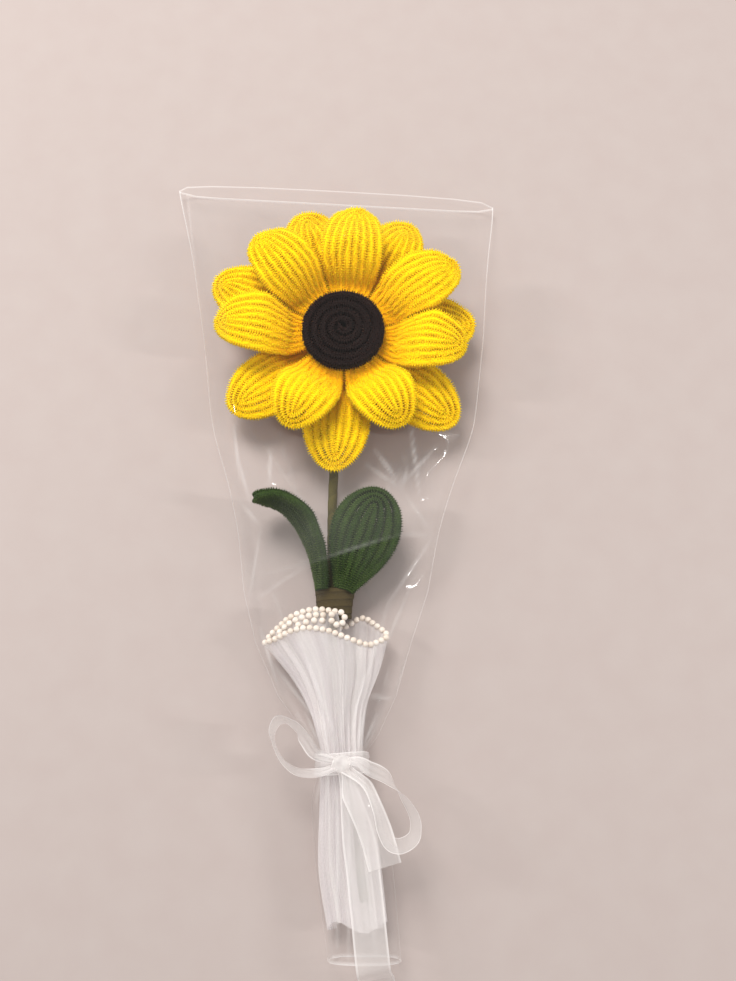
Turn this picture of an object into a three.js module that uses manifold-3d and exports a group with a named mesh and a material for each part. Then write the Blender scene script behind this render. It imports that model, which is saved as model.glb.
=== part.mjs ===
// A wrapped chenille sunflower lying on its back, face up. Millimetres, +Z up.
// The origin is on the surface that it lies on, under the middle of the flower. +Y runs from foot to head.
import * as THREE from 'three';
import { mergeVertices } from 'three/addons/utils/BufferGeometryUtils.js';
import Module from 'manifold-3d';

const wasm = await Module();
wasm.setup();
const { lerp, clamp, smoothstep, degToRad, euclideanModulo } = THREE.MathUtils;

// Fits and sheet thicknesses. Film, tulle and ribbon are drawn thicker than real, so that they are solids.
const CLEARANCE = 0.3;
const FILM_WALL = 0.3;
const TULLE_WALL = 1.2;
const RIBBON_WALL = 0.6;
const MERGE_DISTANCE = 1e-3;

// Chenille pads: the height of a strand, the share of it left in a groove and at the edge, and the outline,
// which widens from the root to a share of the length and rounds off to the tip.
const STRAND_HEIGHT = 5.2;
const GROOVE_SHARE = 0.62;
const EDGE_SHARE = 0.3;
const PAD_ROOT_WIDTH = 7.4;
const PAD_CAMBER = 2.5;
const PAD_WIDEST = 0.6;
const PAD_TIP_ROUND = 0.405;
const PAD_STEPS = 60;

// The flower's middle and the bundle behind it.
const DISC_RADIUS = 20.5;
const DISC_HEIGHT = 8;
const DISC_TURNS = 4;
const DISC_DOME = 1.6;
const DISC_GROOVE = 1.4;
const DISC_SEGMENTS = 28;
const HUB_RADIUS = 8;
const HUB_CHAMFER = 2;
const HUB_SEGMENTS = 20;

// Petals: the heading of each in degrees, and how far its tip lies from its ring's mean reach.
// A petal runs flat under the middle, bends up beside it to the slope rise and arches to the slope droop.
const PETAL_STRANDS = 8;
const PETAL_BEND = 7;
const PETAL_ARC_SHARES = [0.26, 0.55, 0.8, 0.95, 1];
const FRONT_REACH = 62;
const FRONT_WIDTH = 30;
const FRONT_RISE = 58;
const FRONT_DROOP = -48;
const FRONT_PETALS = [
  { heading: 84, reach: 4 },
  { heading: 131, reach: 5 },
  { heading: 177, reach: 2 },
  { heading: 242, reach: -4 },
  { heading: 300, reach: -3 },
  { heading: 351, reach: 0 },
  { heading: 391, reach: 5 },
];
const BACK_REACH = 69;
const BACK_WIDTH = 32;
const BACK_RISE = 22;
const BACK_DROOP = -26;
const BACK_PETALS = [
  { heading: 62, reach: 5 },
  { heading: 107, reach: 6 },
  { heading: 154, reach: 6 },
  { heading: 214, reach: 0 },
  { heading: 266, reach: 2 },
  { heading: 321, reach: 4 },
  { heading: 367, reach: -1 },
];

// Lengths along the stem, from the head down to the foot.
const STEM_SHOWN = 55;
const LEAF_TAPE_LENGTH = 12;
const TAPE_TO_RIM = 7;
const TULLE_CUP_LENGTH = 61;
const TULLE_SKIRT_LENGTH = 70;
const FOOT_LENGTH = 85;
const STEM_BELOW_NECK = 60;

// The stem, its sideways place at three stations, and what is wound round it.
const STEM_RADIUS = 2.3;
const STEM_BEND = 5;
const STEM_BEND_STEPS = 4;
const STEM_SIDES = 8;
const STEM_STEPS = 34;
const HEAD_STEM_Z = 5.5;
const STEM_X = -5;
const NECK_X = 0.5;
const FOOT_X = 11;
const LEAF_TAPE_HALF_WIDTH = 9;
const LEAF_TAPE_HALF_HEIGHT = 6.6;
const LEAF_TAPE_SHIFT = 1.6;
const LEAF_TAPE_LIFT = 3.4;
const LEAF_TAPE_SIDES = 20;
const NECK_RADIUS = 10.3;
const NECK_LIFT = 0.2;

// Leaves: slopes at the root, halfway and at the tip, and how each is turned and rolled at the tape.
const LEAF_STRANDS = 8;
const LEAF_SHARES = [0, 0.22, 0.42, 0.62, 0.82, 0.95, 1];
const RIGHT_LEAF = { length: 53, width: 33, slopes: [8, 12, -8], turn: 70, roll: 0 };
const RIGHT_LEAF_ROOT = { x: 6, y: 1.7 };
const LEFT_LEAF = { length: 60, width: 26, slopes: [0, 14, 72], turn: 96, roll: -72 };
const LEFT_LEAF_ROOT = { gap: 1, y: 0.7, z: 5.5 };

// Tulle: the rim, the skirt's hem, and the cup's sections as
// [share of the way down, sideways shift, share of the rim's width, ruffle].
const RIM_X = -7;
const RIM_HALF_WIDTH = 29;
const RIM_HALF_HEIGHT = 10;
const RIM_LIFT = 0.8;
const RIM_SLANT = -3;
const CUP_SECTIONS = [[0, 0, 1, 0.09], [0.3, 1, 0.8, 0.09], [0.6, 4, 0.59, 0.07], [0.8, 6.5, 0.39, 0.03]];
const SKIRT_SECTIONS = [0.3, 0.65, 1];
const SKIRT_HALF_WIDTH = 13;
const SKIRT_HALF_HEIGHT = 8.2;
const SKIRT_Z = 10.2;
const RUFFLES = 7;
const RUFFLE_SIDES = 4;
const NECK_RUFFLE = 0.03;
const SKIRT_RUFFLE = 0.07;
const GATHER_FROM = 14;
const GATHER_TO = 30;

// Beads along the tulle's rim.
const BEAD_DIAMETER = 3;
const BEADS = 54;
const BEAD_SIDES = 6;
const THREAD_RADIUS = 0.7;

// Film sleeve: its mouth and its room round the head. Each section is [share of the way along its stretch,
// share of the half width, sideways shift, seam height, drop of the top, squareness, flatness of the base].
// A squareness of 2 is an ellipse. Stretches: head to mouth, head to leaf tape, rim to neck, neck to foot.
const FRONT_SLACK = 10;
const BACK_SLACK = 3;
const CREST_ROOM = 18;
const RIM_ROOM = 4;
const MOUTH_MARGIN = 9;
const MOUTH_HALF_WIDTH = 84;
const MOUTH_SECTIONS = [
  [1, 1, -2, 7, 16.7, 1.5, 1.5],
  [0.84, 0.8, -2, 8, 5, 1.9, 1.5],
  [0.5, 0.45, -2, 10, 0, 2.6, 1.4],
  [0, 0, 0, 12, 0, 3.2, 1.4],
];
const STEM_SECTIONS = [
  [0.37, 0.92, 0, 12, 0, 3.2, 1.4],
  [0.59, 0.77, -1, 12, 3, 2.8, 1.4],
  [0.78, 0.68, -2, 12, 5, 2.6, 1.4],
  [1, 0.62, -3, 12, 9, 2.6, 1.4],
];
const CUP_FILM_SECTIONS = [[0.1, 1.28, 3, 12, 0, 2.6, 1.3], [0.5, 0.96, 5, 12, 1, 2.6, 1.2]];
const FOOT_SECTIONS = [[0.5, 1.35, -5, 11, 0.4, 2.4, 1.2], [1, 1.25, 0, 9, 3.5, 2.2, 1.2]];
const NECK_SECTIONS = { above: 0.8, below: 0.2, halfAbove: 1.6, halfBelow: 1.5, shift: 1.5, squareness: 2.2 };
const FRONT_COLUMNS = 15;
const BACK_COLUMNS = 13;

// Ribbon: its width, and the paths of its loops and tails as [x, y] from the neck, height from the knot,
// and the sideways lean of its width. It is gathered narrow at the knot.
const RIBBON_WIDTH = 15;
const RIBBON_WRAP_WIDTH = 9;
const RIBBON_STEPS = 3;
const WRAP_SIDES = 24;
const GATHERED_WIDTH = 4;
const GATHER_SHARE = 0.35;
const KNOT = { length: 10.8, width: 9.2, height: 6, rise: 2, around: 10, along: 7 };
const LEFT_LOOP = [
  [-1, 1, 0, 0.2, -0.8], [-12, 11, 2, 0.3, -0.4], [-24, 19, -2, 0.3, 0.1], [-33, 14, -7, 0.2, 0.1],
  [-29, 3, -7, 0, 0.3], [-17, -5, 1, 0, 0.6], [-1, -1, 0, 0, 0.8],
];
const RIGHT_LOOP = [
  [1, 1, 0, -0.3, -0.6], [14, 1, 2, -0.4, -0.3], [27, -11, 0, -0.5, -0.1], [36, -28, -3, -0.4, 0.1],
  [31, -40, -3, 0, 0.4], [24, -31, 0, 0.2, 0.2], [17, -12, 3, 0.2, 0.5], [1, -2, 0, 0.2, 0.8],
];
const SHORT_TAIL = [[2, -1, 0], [9, -14, 1.2], [16, -30, -0.4], [20, -44, -2.2]];
const LONG_TAIL = [[1, -1, 0], [5, -16, -0.6], [9, -36, -2.2], [12, -60, -3.6]];
const TAIL_OVER_FOOT = [[15, 2, -5], [16, 6, -14], [17, 9, -24.6]];
const TAIL_END_X = 18;
const TAIL_BEYOND_FOOT = 16;
const TAIL_LEAN = 0.2;

const MATERIALS = {
  yellow: { color: 0xf2c400, roughness: 0.95, metalness: 0 },
  brown: { color: 0x241a1b, roughness: 0.95, metalness: 0 },
  green: { color: 0x3c7032, roughness: 0.95, metalness: 0 },
  stemTape: { color: 0x59592f, roughness: 0.8, metalness: 0 },
  leafTape: { color: 0x4d472b, roughness: 0.8, metalness: 0 },
  tulle: { color: 0xeae6ec, roughness: 0.9, metalness: 0 },
  pearl: { color: 0xf0e6da, roughness: 0.25, metalness: 0 },
  film: { color: 0xf4f6f8, roughness: 0.08, metalness: 0 },
  ribbon: { color: 0xf2eff0, roughness: 0.6, metalness: 0 },
};

// Solid from a list of points and a list of triangles.
function solid(points, triangles) {
  const geometry = new THREE.BufferGeometry().setFromPoints(points);
  geometry.setIndex(triangles.flat());
  return geometry;
}

// Closed sheet between two grids of points with the same rows and columns.
// The first grid's columns crossed with its rows point out of it. around joins the last column to the first.
function sheet(outer, inner, around = false) {
  const rows = outer.length;
  const columns = outer[0].length;
  const at = (side, row, column) => (side * rows + row) * columns + (column % columns);
  const lastRow = rows - 1;
  const lastColumn = around ? columns : columns - 1;
  const triangles = [];
  const quad = (a, b, c, d) => triangles.push([a, b, c], [a, c, d]);
  for (let c = 0; c < lastColumn; c += 1) {
    for (let r = 0; r < lastRow; r += 1) {
      quad(at(0, r, c), at(0, r, c + 1), at(0, r + 1, c + 1), at(0, r + 1, c));
      quad(at(1, r, c), at(1, r + 1, c), at(1, r + 1, c + 1), at(1, r, c + 1));
    }
    quad(at(1, 0, c), at(1, 0, c + 1), at(0, 0, c + 1), at(0, 0, c));
    quad(at(0, lastRow, c), at(0, lastRow, c + 1), at(1, lastRow, c + 1), at(1, lastRow, c));
  }
  for (let r = 0; r < lastRow && !around; r += 1) {
    quad(at(0, r, 0), at(0, r + 1, 0), at(1, r + 1, 0), at(1, r, 0));
    quad(at(1, r, lastColumn), at(1, r + 1, lastColumn), at(0, r + 1, lastColumn), at(0, r, lastColumn));
  }
  return solid([...outer.flat(), ...inner.flat()], triangles);
}

// Grid moved by a distance along its own normals, which are its rows' direction crossed with its columns'.
function offset(grid, distance) {
  const rows = grid.length;
  const columns = grid[0].length;
  return grid.map((row, r) => row.map((point, c) => {
    const along = grid[Math.min(r + 1, rows - 1)][c].clone().sub(grid[Math.max(r - 1, 0)][c]);
    const across = row[Math.min(c + 1, columns - 1)].clone().sub(row[Math.max(c - 1, 0)]);
    return point.clone().addScaledVector(along.cross(across).normalize(), distance);
  }));
}

// Solid rod along a closed curve, its radius given for each step.
function closedRod(curve, radii, sides) {
  const steps = radii.length;
  const frames = curve.computeFrenetFrames(steps, true);
  const points = [];
  const triangles = [];
  for (let i = 0; i < steps; i += 1) {
    const centre = curve.getPointAt(i / steps);
    const [row, next] = [i * sides, ((i + 1) % steps) * sides];
    for (let k = 0; k < sides; k += 1) {
      const angle = (k / sides) * 2 * Math.PI;
      const point = centre.clone().addScaledVector(frames.normals[i], radii[i] * Math.cos(angle));
      points.push(point.addScaledVector(frames.binormals[i], radii[i] * Math.sin(angle)));
      const turn = (k + 1) % sides;
      triangles.push([row + k, row + turn, next + turn], [row + k, next + turn, next + k]);
    }
  }
  return solid(points, triangles);
}

// Several closed geometries joined into one.
function join(geometries) {
  const solids = geometries.map((geometry) => {
    const bare = new THREE.BufferGeometry().setAttribute('position', geometry.getAttribute('position'));
    const merged = mergeVertices(bare.setIndex(geometry.index), MERGE_DISTANCE);
    return new wasm.Manifold(new wasm.Mesh({
      numProp: 3,
      vertProperties: new Float32Array(merged.getAttribute('position').array),
      triVerts: new Uint32Array(merged.index.array),
    }));
  });
  const mesh = solids.reduce((whole, piece) => whole.add(piece)).getMesh();
  const geometry = new THREE.BufferGeometry();
  geometry.setAttribute('position', new THREE.BufferAttribute(mesh.vertProperties, mesh.numProp));
  return geometry.setIndex(new THREE.BufferAttribute(mesh.triVerts, 1));
}

const flower = new THREE.Group();

function addPiece(name, geometry, look) {
  const mesh = new THREE.Mesh(geometry, new THREE.MeshStandardMaterial(MATERIALS[look]));
  mesh.name = name;
  flower.add(mesh);
  return mesh;
}

// Pad of chenille strands wound in nested loops, lying along +X with its face up.
// bends lists [distance along the pad, slope in degrees], and rows the distances of its cross-sections.
// limit(x, hand) is the widest that it may be at x on that hand.
function chenillePad({ width, strands, bends, rows, limit }) {
  const length = bends[bends.length - 1][0];
  const slope = (distance) => {
    const next = Math.max(1, bends.findIndex(([place]) => place >= distance));
    const [[from, start], [to, end]] = [bends[next - 1], bends[next]];
    return degToRad(lerp(start, end, clamp((distance - from) / (to - from), 0, 1)));
  };
  const spine = [new THREE.Vector3()];
  for (let i = 0; i < PAD_STEPS; i += 1) {
    const angle = slope(((i + 0.5) / PAD_STEPS) * length);
    const step = new THREE.Vector3(Math.cos(angle), 0, Math.sin(angle));
    spine.push(spine[i].clone().addScaledVector(step, length / PAD_STEPS));
  }
  const face = (facing) => rows.map((distance) => {
    const share = distance / length;
    const centre = spine[Math.round(share * PAD_STEPS)];
    const normal = new THREE.Vector3(-Math.sin(slope(distance)), 0, Math.cos(slope(distance)));
    const opening = Math.sin((Math.PI / 2) * Math.min(share / PAD_WIDEST, 1));
    const closing = Math.sqrt(1 - (Math.max(share - PAD_WIDEST, 0) / PAD_TIP_ROUND) ** 2);
    const grown = (lerp(PAD_ROOT_WIDTH, width, opening) / 2) * closing;
    return Array.from({ length: 2 * strands + 1 }, (_, column) => {
      const across = column / strands - 1;
      const half = Math.min(grown, limit(centre.x - STRAND_HEIGHT / 2, Math.sign(across)));
      const inside = column % 2 ? 1 : GROOVE_SHARE;
      const fullness = Math.abs(across) === 1 ? EDGE_SHARE : inside;
      const drop = PAD_CAMBER * across ** 2 * (half / (width / 2));
      const point = centre.clone().addScaledVector(normal, facing * fullness * (STRAND_HEIGHT / 2) - drop);
      return point.setY(across * half);
    });
  });
  return sheet(face(-1), face(1));
}

// Heights, from the surface up: stem, back ring, front ring, middle of the flower.
const hubBottom = HEAD_STEM_Z + STEM_BEND + 2 * CLEARANCE;
const backRingZ = Math.max(hubBottom, HEAD_STEM_Z + STEM_RADIUS + PAD_CAMBER) + STRAND_HEIGHT / 2 + CLEARANCE;
const frontRingZ = backRingZ + STRAND_HEIGHT + PAD_CAMBER / 2 + 2 * CLEARANCE;
const discBottom = frontRingZ + STRAND_HEIGHT / 2 + CLEARANCE;
const rootRadius = HUB_RADIUS + CLEARANCE;
const riseRadius = DISC_RADIUS + CLEARANCE + STRAND_HEIGHT / 2;

// Ring of petals. Each stays on its own side of the planes midway to its neighbours.
function addRing(prefix, petals, { reach, width, rise, droop, z }) {
  const count = petals.length;
  const flat = riseRadius - rootRadius;
  const bent = flat + PETAL_BEND;
  const [riseAngle, droopAngle] = [degToRad(rise), degToRad(droop)];
  const bentReach = riseRadius + (PETAL_BEND * Math.sin(riseAngle)) / riseAngle;
  const arcReach = (Math.sin(riseAngle) - Math.sin(droopAngle)) / (riseAngle - droopAngle);
  petals.forEach((petal, i) => {
    const limit = (x, hand) => {
      const neighbour = petals[(i + (hand < 0 ? count - 1 : 1)) % count];
      const turn = hand < 0 ? petal.heading - neighbour.heading : neighbour.heading - petal.heading;
      const half = degToRad(euclideanModulo(turn, 360)) / 2;
      return (x + rootRadius) * Math.tan(half) - CLEARANCE / 2 / Math.cos(half);
    };
    const arc = (reach + petal.reach - bentReach) / arcReach;
    const mesh = addPiece(`${prefix}_${i + 1}`, chenillePad({
      width,
      strands: PETAL_STRANDS,
      bends: [[0, 0], [flat, 0], [bent, rise], [bent + arc, droop]],
      rows: [0, flat, bent, ...PETAL_ARC_SHARES.map((share) => bent + share * arc)],
      limit,
    }), 'yellow');
    const heading = degToRad(petal.heading);
    mesh.rotation.z = heading;
    mesh.position.set(rootRadius * Math.cos(heading), rootRadius * Math.sin(heading), z);
  });
}

addRing('front_petal', FRONT_PETALS, {
  reach: FRONT_REACH, width: FRONT_WIDTH, rise: FRONT_RISE, droop: FRONT_DROOP, z: frontRingZ,
});
addRing('back_petal', BACK_PETALS, {
  reach: BACK_REACH, width: BACK_WIDTH, rise: BACK_RISE, droop: BACK_DROOP, z: backRingZ,
});

// Turned solid standing on the Z axis, from [radius, height] pairs.
function turned(profile, segments) {
  const points = profile.map(([radius, z]) => new THREE.Vector2(radius, z));
  return new THREE.LatheGeometry(points, segments).rotateX(Math.PI / 2);
}

// Flower centre: a chenille coil, domed a little, each turn a ridge.
const coilPitch = DISC_RADIUS / DISC_TURNS;
const domeAt = (radius) => DISC_HEIGHT - DISC_DOME * (radius / DISC_RADIUS) ** 2;
const coil = [[0, 0], [DISC_RADIUS - coilPitch / 2, 0], [DISC_RADIUS, DISC_HEIGHT / 2]];
for (let turn = DISC_TURNS; turn > 0; turn -= 1) {
  const crown = (turn - 0.5) * coilPitch;
  const groove = (turn - 1) * coilPitch;
  coil.push([crown, domeAt(crown)], [groove, domeAt(groove) - DISC_GROOVE]);
}
addPiece('flower_centre', turned(coil, DISC_SEGMENTS), 'brown').position.z = discBottom;

// Head binding: the bundle of the petals' twisted ends, wound with tape.
const hubHeight = discBottom - CLEARANCE - hubBottom;
const hubFoot = [[0, 0], [HUB_RADIUS - HUB_CHAMFER, 0], [HUB_RADIUS, HUB_CHAMFER]];
const hub = turned([...hubFoot, [HUB_RADIUS, hubHeight], [0, hubHeight]], HUB_SEGMENTS);
addPiece('head_binding', hub, 'stemTape').position.z = hubBottom;

// Places along the stem, and the layers round the neck: tulle, film, ribbon.
const headReach = Math.max(
  ...BACK_PETALS.map((petal) => BACK_REACH + petal.reach),
  ...FRONT_PETALS.map((petal) => FRONT_REACH + petal.reach),
);
const tapeTopY = -headReach - STEM_SHOWN;
const tapeBottomY = tapeTopY - LEAF_TAPE_LENGTH;
const rimY = tapeBottomY - TAPE_TO_RIM;
const neckY = rimY - TULLE_CUP_LENGTH;
const skirtY = neckY - TULLE_SKIRT_LENGTH;
const footY = neckY - FOOT_LENGTH;
const tapeZ = LEAF_TAPE_HALF_HEIGHT + LEAF_TAPE_LIFT;
const neckFilm = NECK_RADIUS * (1 + NECK_RUFFLE) + CLEARANCE + FILM_WALL;
const wrapInner = neckFilm + FILM_WALL + 2 * CLEARANCE;
const neckZ = wrapInner + RIBBON_WALL + NECK_LIFT;
const wrapHalf = RIBBON_WRAP_WIDTH / 2 + 2 * CLEARANCE;

// Stem: tape-wrapped wire, bent up under the head by a quarter turn.
const stemBend = Array.from({ length: STEM_BEND_STEPS + 1 }, (_, i) => {
  const angle = (i / STEM_BEND_STEPS) * (Math.PI / 2);
  const [back, up] = [STEM_BEND * (Math.sin(angle) - 1), STEM_BEND * (1 - Math.cos(angle))];
  return new THREE.Vector3(0, back, HEAD_STEM_Z + up);
});
const stemPath = new THREE.CatmullRomCurve3([
  new THREE.Vector3(FOOT_X, neckY - STEM_BELOW_NECK, SKIRT_Z),
  new THREE.Vector3(NECK_X, neckY, neckZ),
  new THREE.Vector3(STEM_X, tapeBottomY, tapeZ),
  new THREE.Vector3(STEM_X, tapeTopY, tapeZ),
  new THREE.Vector3(STEM_X, -headReach, HEAD_STEM_Z),
  ...stemBend,
], false, 'centripetal');
const stemCircle = new THREE.EllipseCurve(0, 0, STEM_RADIUS, STEM_RADIUS);
const stemSection = new THREE.Shape(stemCircle.getPoints(STEM_SIDES));
const stem = new THREE.ExtrudeGeometry(stemSection, { extrudePath: stemPath, steps: STEM_STEPS });
addPiece('stem', stem, 'stemTape');

// Ruffled oval across the stem. slant tips its quarters up and down along the stem.
function ovalRow({ y, x, z, halfWidth, halfHeight, ruffle = 0, slant = 0 }, count) {
  return Array.from({ length: count }, (_, i) => {
    const angle = (i / count) * 2 * Math.PI;
    const swell = 1 + ruffle * Math.cos(RUFFLES * angle);
    const [across, up] = [halfWidth * swell * Math.cos(angle), halfHeight * swell * Math.sin(angle)];
    return new THREE.Vector3(x + across, y + slant * Math.sin(2 * angle), z + up);
  });
}

// Leaf tape: an oval band round the stem.
const bore = STEM_RADIUS + CLEARANCE;
const bandRows = (x, halfWidth, halfHeight) => [tapeTopY, tapeBottomY].map((y) => (
  ovalRow({ y, x, z: tapeZ, halfWidth, halfHeight }, LEAF_TAPE_SIDES)
));
const bandOutside = bandRows(STEM_X + LEAF_TAPE_SHIFT, LEAF_TAPE_HALF_WIDTH, LEAF_TAPE_HALF_HEIGHT);
addPiece('leaf_tape', sheet(bandOutside, bandRows(STEM_X, bore, bore), true), 'leafTape');

// Leaves. The right one faces up over the stem; the left one stands on edge and bends away to the left.
function addLeaf(name, { length, width, slopes, turn, roll }, root) {
  const mesh = addPiece(name, chenillePad({
    width,
    strands: LEAF_STRANDS,
    bends: slopes.map((slope, i) => [(i / (slopes.length - 1)) * length, slope]),
    rows: LEAF_SHARES.map((share) => share * length),
    limit: () => Infinity,
  }), 'green');
  mesh.rotation.set(degToRad(roll), 0, degToRad(turn), 'ZYX');
  mesh.position.set(STEM_X, tapeTopY, tapeZ).add(root);
}

const beside = bore + STRAND_HEIGHT / 2 + CLEARANCE;
const rightRoot = new THREE.Vector3(RIGHT_LEAF_ROOT.x, RIGHT_LEAF_ROOT.y, beside);
const leftRoot = new THREE.Vector3(-beside - LEFT_LEAF_ROOT.gap, LEFT_LEAF_ROOT.y, LEFT_LEAF_ROOT.z);
addLeaf('leaf_right', RIGHT_LEAF, rightRoot);
addLeaf('leaf_left', LEFT_LEAF, leftRoot);

// Tulle: an open cup above the neck, gathered tight on the stem there, and an open skirt below.
const rimRuffle = CUP_SECTIONS[0][3];
const rimZ = RIM_HALF_HEIGHT * (1 + rimRuffle) + FILM_WALL + 2 * CLEARANCE + RIM_LIFT;
const cupY = (share) => lerp(rimY, neckY, share);
const cupRows = CUP_SECTIONS.map(([share, shift, wide, ruffle]) => ({
  y: cupY(share),
  x: RIM_X + shift,
  z: lerp(rimZ, neckZ, share),
  halfWidth: RIM_HALF_WIDTH * wide,
  halfHeight: lerp(RIM_HALF_HEIGHT, NECK_RADIUS, share),
  ruffle,
  slant: RIM_SLANT * Math.max(0, 1 - 2 * share),
}));
const neckRows = [wrapHalf, -wrapHalf].map((up) => ({
  y: neckY + up, x: NECK_X, z: neckZ, halfWidth: NECK_RADIUS, halfHeight: NECK_RADIUS, ruffle: NECK_RUFFLE,
}));
const skirtRows = SKIRT_SECTIONS.map((share) => ({
  y: lerp(neckY, skirtY, share),
  x: lerp(NECK_X, FOOT_X, share),
  z: lerp(neckZ, SKIRT_Z, share),
  halfWidth: lerp(NECK_RADIUS, SKIRT_HALF_WIDTH, share),
  halfHeight: lerp(NECK_RADIUS, SKIRT_HALF_HEIGHT, share),
  ruffle: SKIRT_RUFFLE * share,
}));
const tulleRows = [...cupRows, ...neckRows, ...skirtRows];
const stemPoints = stemPath.getPoints(STEM_STEPS * STEM_SIDES);
const nearer = (y) => (best, point) => (Math.abs(point.y - y) < Math.abs(best.y - y) ? point : best);
const tulleSides = RUFFLE_SIDES * RUFFLES;
const outerTulle = tulleRows.map((row) => ovalRow(row, tulleSides));
const innerTulle = tulleRows.map((row) => {
  const packed = 1 - smoothstep(Math.abs(row.y - neckY), GATHER_FROM, GATHER_TO);
  const wire = stemPoints.reduce(nearer(row.y));
  return ovalRow({
    ...row,
    x: lerp(row.x, wire.x, packed),
    z: lerp(row.z, wire.z, packed),
    halfWidth: lerp(row.halfWidth - TULLE_WALL, bore + CLEARANCE, packed),
    halfHeight: lerp(row.halfHeight - TULLE_WALL, bore + CLEARANCE, packed),
    ruffle: lerp(row.ruffle, 0, packed),
  }, tulleSides);
});
addPiece('tulle_wrap', sheet(outerTulle, innerTulle, true), 'tulle');

// Pearl trim: moulded beads on a thread, a closed loop just above the rim.
const rimLine = outerTulle[0].map((point, i) => point.clone().lerp(innerTulle[0][i], 0.5));
rimLine.forEach((point) => point.setY(point.y + BEAD_DIAMETER / 2 + CLEARANCE));
const beadRadii = [THREAD_RADIUS, BEAD_DIAMETER / 2, BEAD_DIAMETER / 2];
const trimRadii = Array.from({ length: BEADS * beadRadii.length }, (_, i) => beadRadii[i % beadRadii.length]);
addPiece('pearl_trim', closedRod(new THREE.CatmullRomCurve3(rimLine, true), trimRadii, BEAD_SIDES), 'pearl');

// Film sleeve: two panels that meet along both sides, each through the same row of sections.
const headHalf = Math.max(BACK_REACH + BACK_SLACK, FRONT_REACH + FRONT_SLACK);
const mouthY = headReach + MOUTH_MARGIN;
const crestZ = frontRingZ + STRAND_HEIGHT / 2 + CREST_ROOM;
const section = (y, half, x, top, [, , shift, seam, drop, power, flat]) => ({
  y, half, x: x + shift, base: 0, seam, top: top - drop, power, flat,
});
const nearNeck = (y, half, shift) => ({
  y, half, x: NECK_X + shift, base: NECK_LIFT, seam: neckZ, top: 2 * neckZ - NECK_LIFT,
  power: NECK_SECTIONS.squareness, flat: 1,
});
const atNeck = (y) => ({
  y, half: neckFilm, x: NECK_X, base: neckZ - neckFilm, seam: neckZ, top: neckZ + neckFilm, power: 2, flat: 1,
});
const toMouth = (row) => section(mouthY * row[0], lerp(headHalf, MOUTH_HALF_WIDTH, row[1]), 0, crestZ, row);
const toTape = (row) => section(tapeTopY * row[0], headHalf * row[1], 0, crestZ, row);
const toNeck = (row) => section(cupY(row[0]), RIM_HALF_WIDTH * row[1], RIM_X, 2 * rimZ + RIM_ROOM, row);
const toFoot = (row) => section(
  lerp(neckY, footY, row[0]), SKIRT_HALF_WIDTH * row[1], FOOT_X, neckZ + NECK_RADIUS - CLEARANCE, row,
);
const belowNeckY = lerp(neckY, footY, NECK_SECTIONS.below);
const sections = [
  ...MOUTH_SECTIONS.map(toMouth),
  ...STEM_SECTIONS.map(toTape),
  ...CUP_FILM_SECTIONS.map(toNeck),
  nearNeck(cupY(NECK_SECTIONS.above), NECK_RADIUS * NECK_SECTIONS.halfAbove, 0),
  atNeck(neckY + wrapHalf),
  atNeck(neckY - wrapHalf),
  nearNeck(belowNeckY, NECK_RADIUS * NECK_SECTIONS.halfBelow, NECK_SECTIONS.shift),
  ...FOOT_SECTIONS.map(toFoot),
];
const seamGap = 2 * FILM_WALL + CLEARANCE;

function addPanel(name, columns, height) {
  const grid = sections.map((row) => Array.from({ length: columns }, (_, c) => {
    const angle = Math.PI * (c / (columns - 1));
    const run = Math.cos(angle);
    const reach = Math.sign(run) * Math.abs(run) ** (2 / row.power);
    const bulge = Math.max(Math.sin(angle), 0) ** (2 / row.power);
    return new THREE.Vector3(row.x - row.half * reach, row.y, height(row, bulge));
  }));
  addPiece(name, sheet(grid, offset(grid, FILM_WALL)), 'film');
}

const topHeight = ({ seam, top }, bulge) => lerp(seam + seamGap, top, bulge);
const baseHeight = ({ seam, base, flat }, bulge) => lerp(seam, base, Math.min(1, flat * bulge));
addPanel('sleeve_front_panel', FRONT_COLUMNS, topHeight);
addPanel('sleeve_back_panel', BACK_COLUMNS, baseHeight);

// Ribbon band along a path, its width turned towards a given direction at each point.
function ribbonBand(points, directions, isLoop) {
  const path = new THREE.CatmullRomCurve3(points, false, 'centripetal');
  const facing = new THREE.CatmullRomCurve3(directions, false, 'centripetal');
  const steps = RIBBON_STEPS * (points.length - 1);
  const face = (side) => Array.from({ length: steps + 1 }, (_, i) => {
    const share = i / steps;
    const tangent = path.getTangent(share);
    const across = facing.getPoint(share);
    across.addScaledVector(tangent, -across.dot(tangent)).normalize();
    const normal = tangent.clone().cross(across);
    const opened = smoothstep(isLoop ? Math.min(share, 1 - share) : share, 0, GATHER_SHARE);
    const half = lerp(GATHERED_WIDTH, RIBBON_WIDTH, opened) / 2;
    const centre = path.getPoint(share).addScaledVector(normal, side * (RIBBON_WALL / 2));
    return [-half, half].map((distance) => centre.clone().addScaledVector(across, distance));
  });
  return sheet(face(-1), face(1));
}

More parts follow.
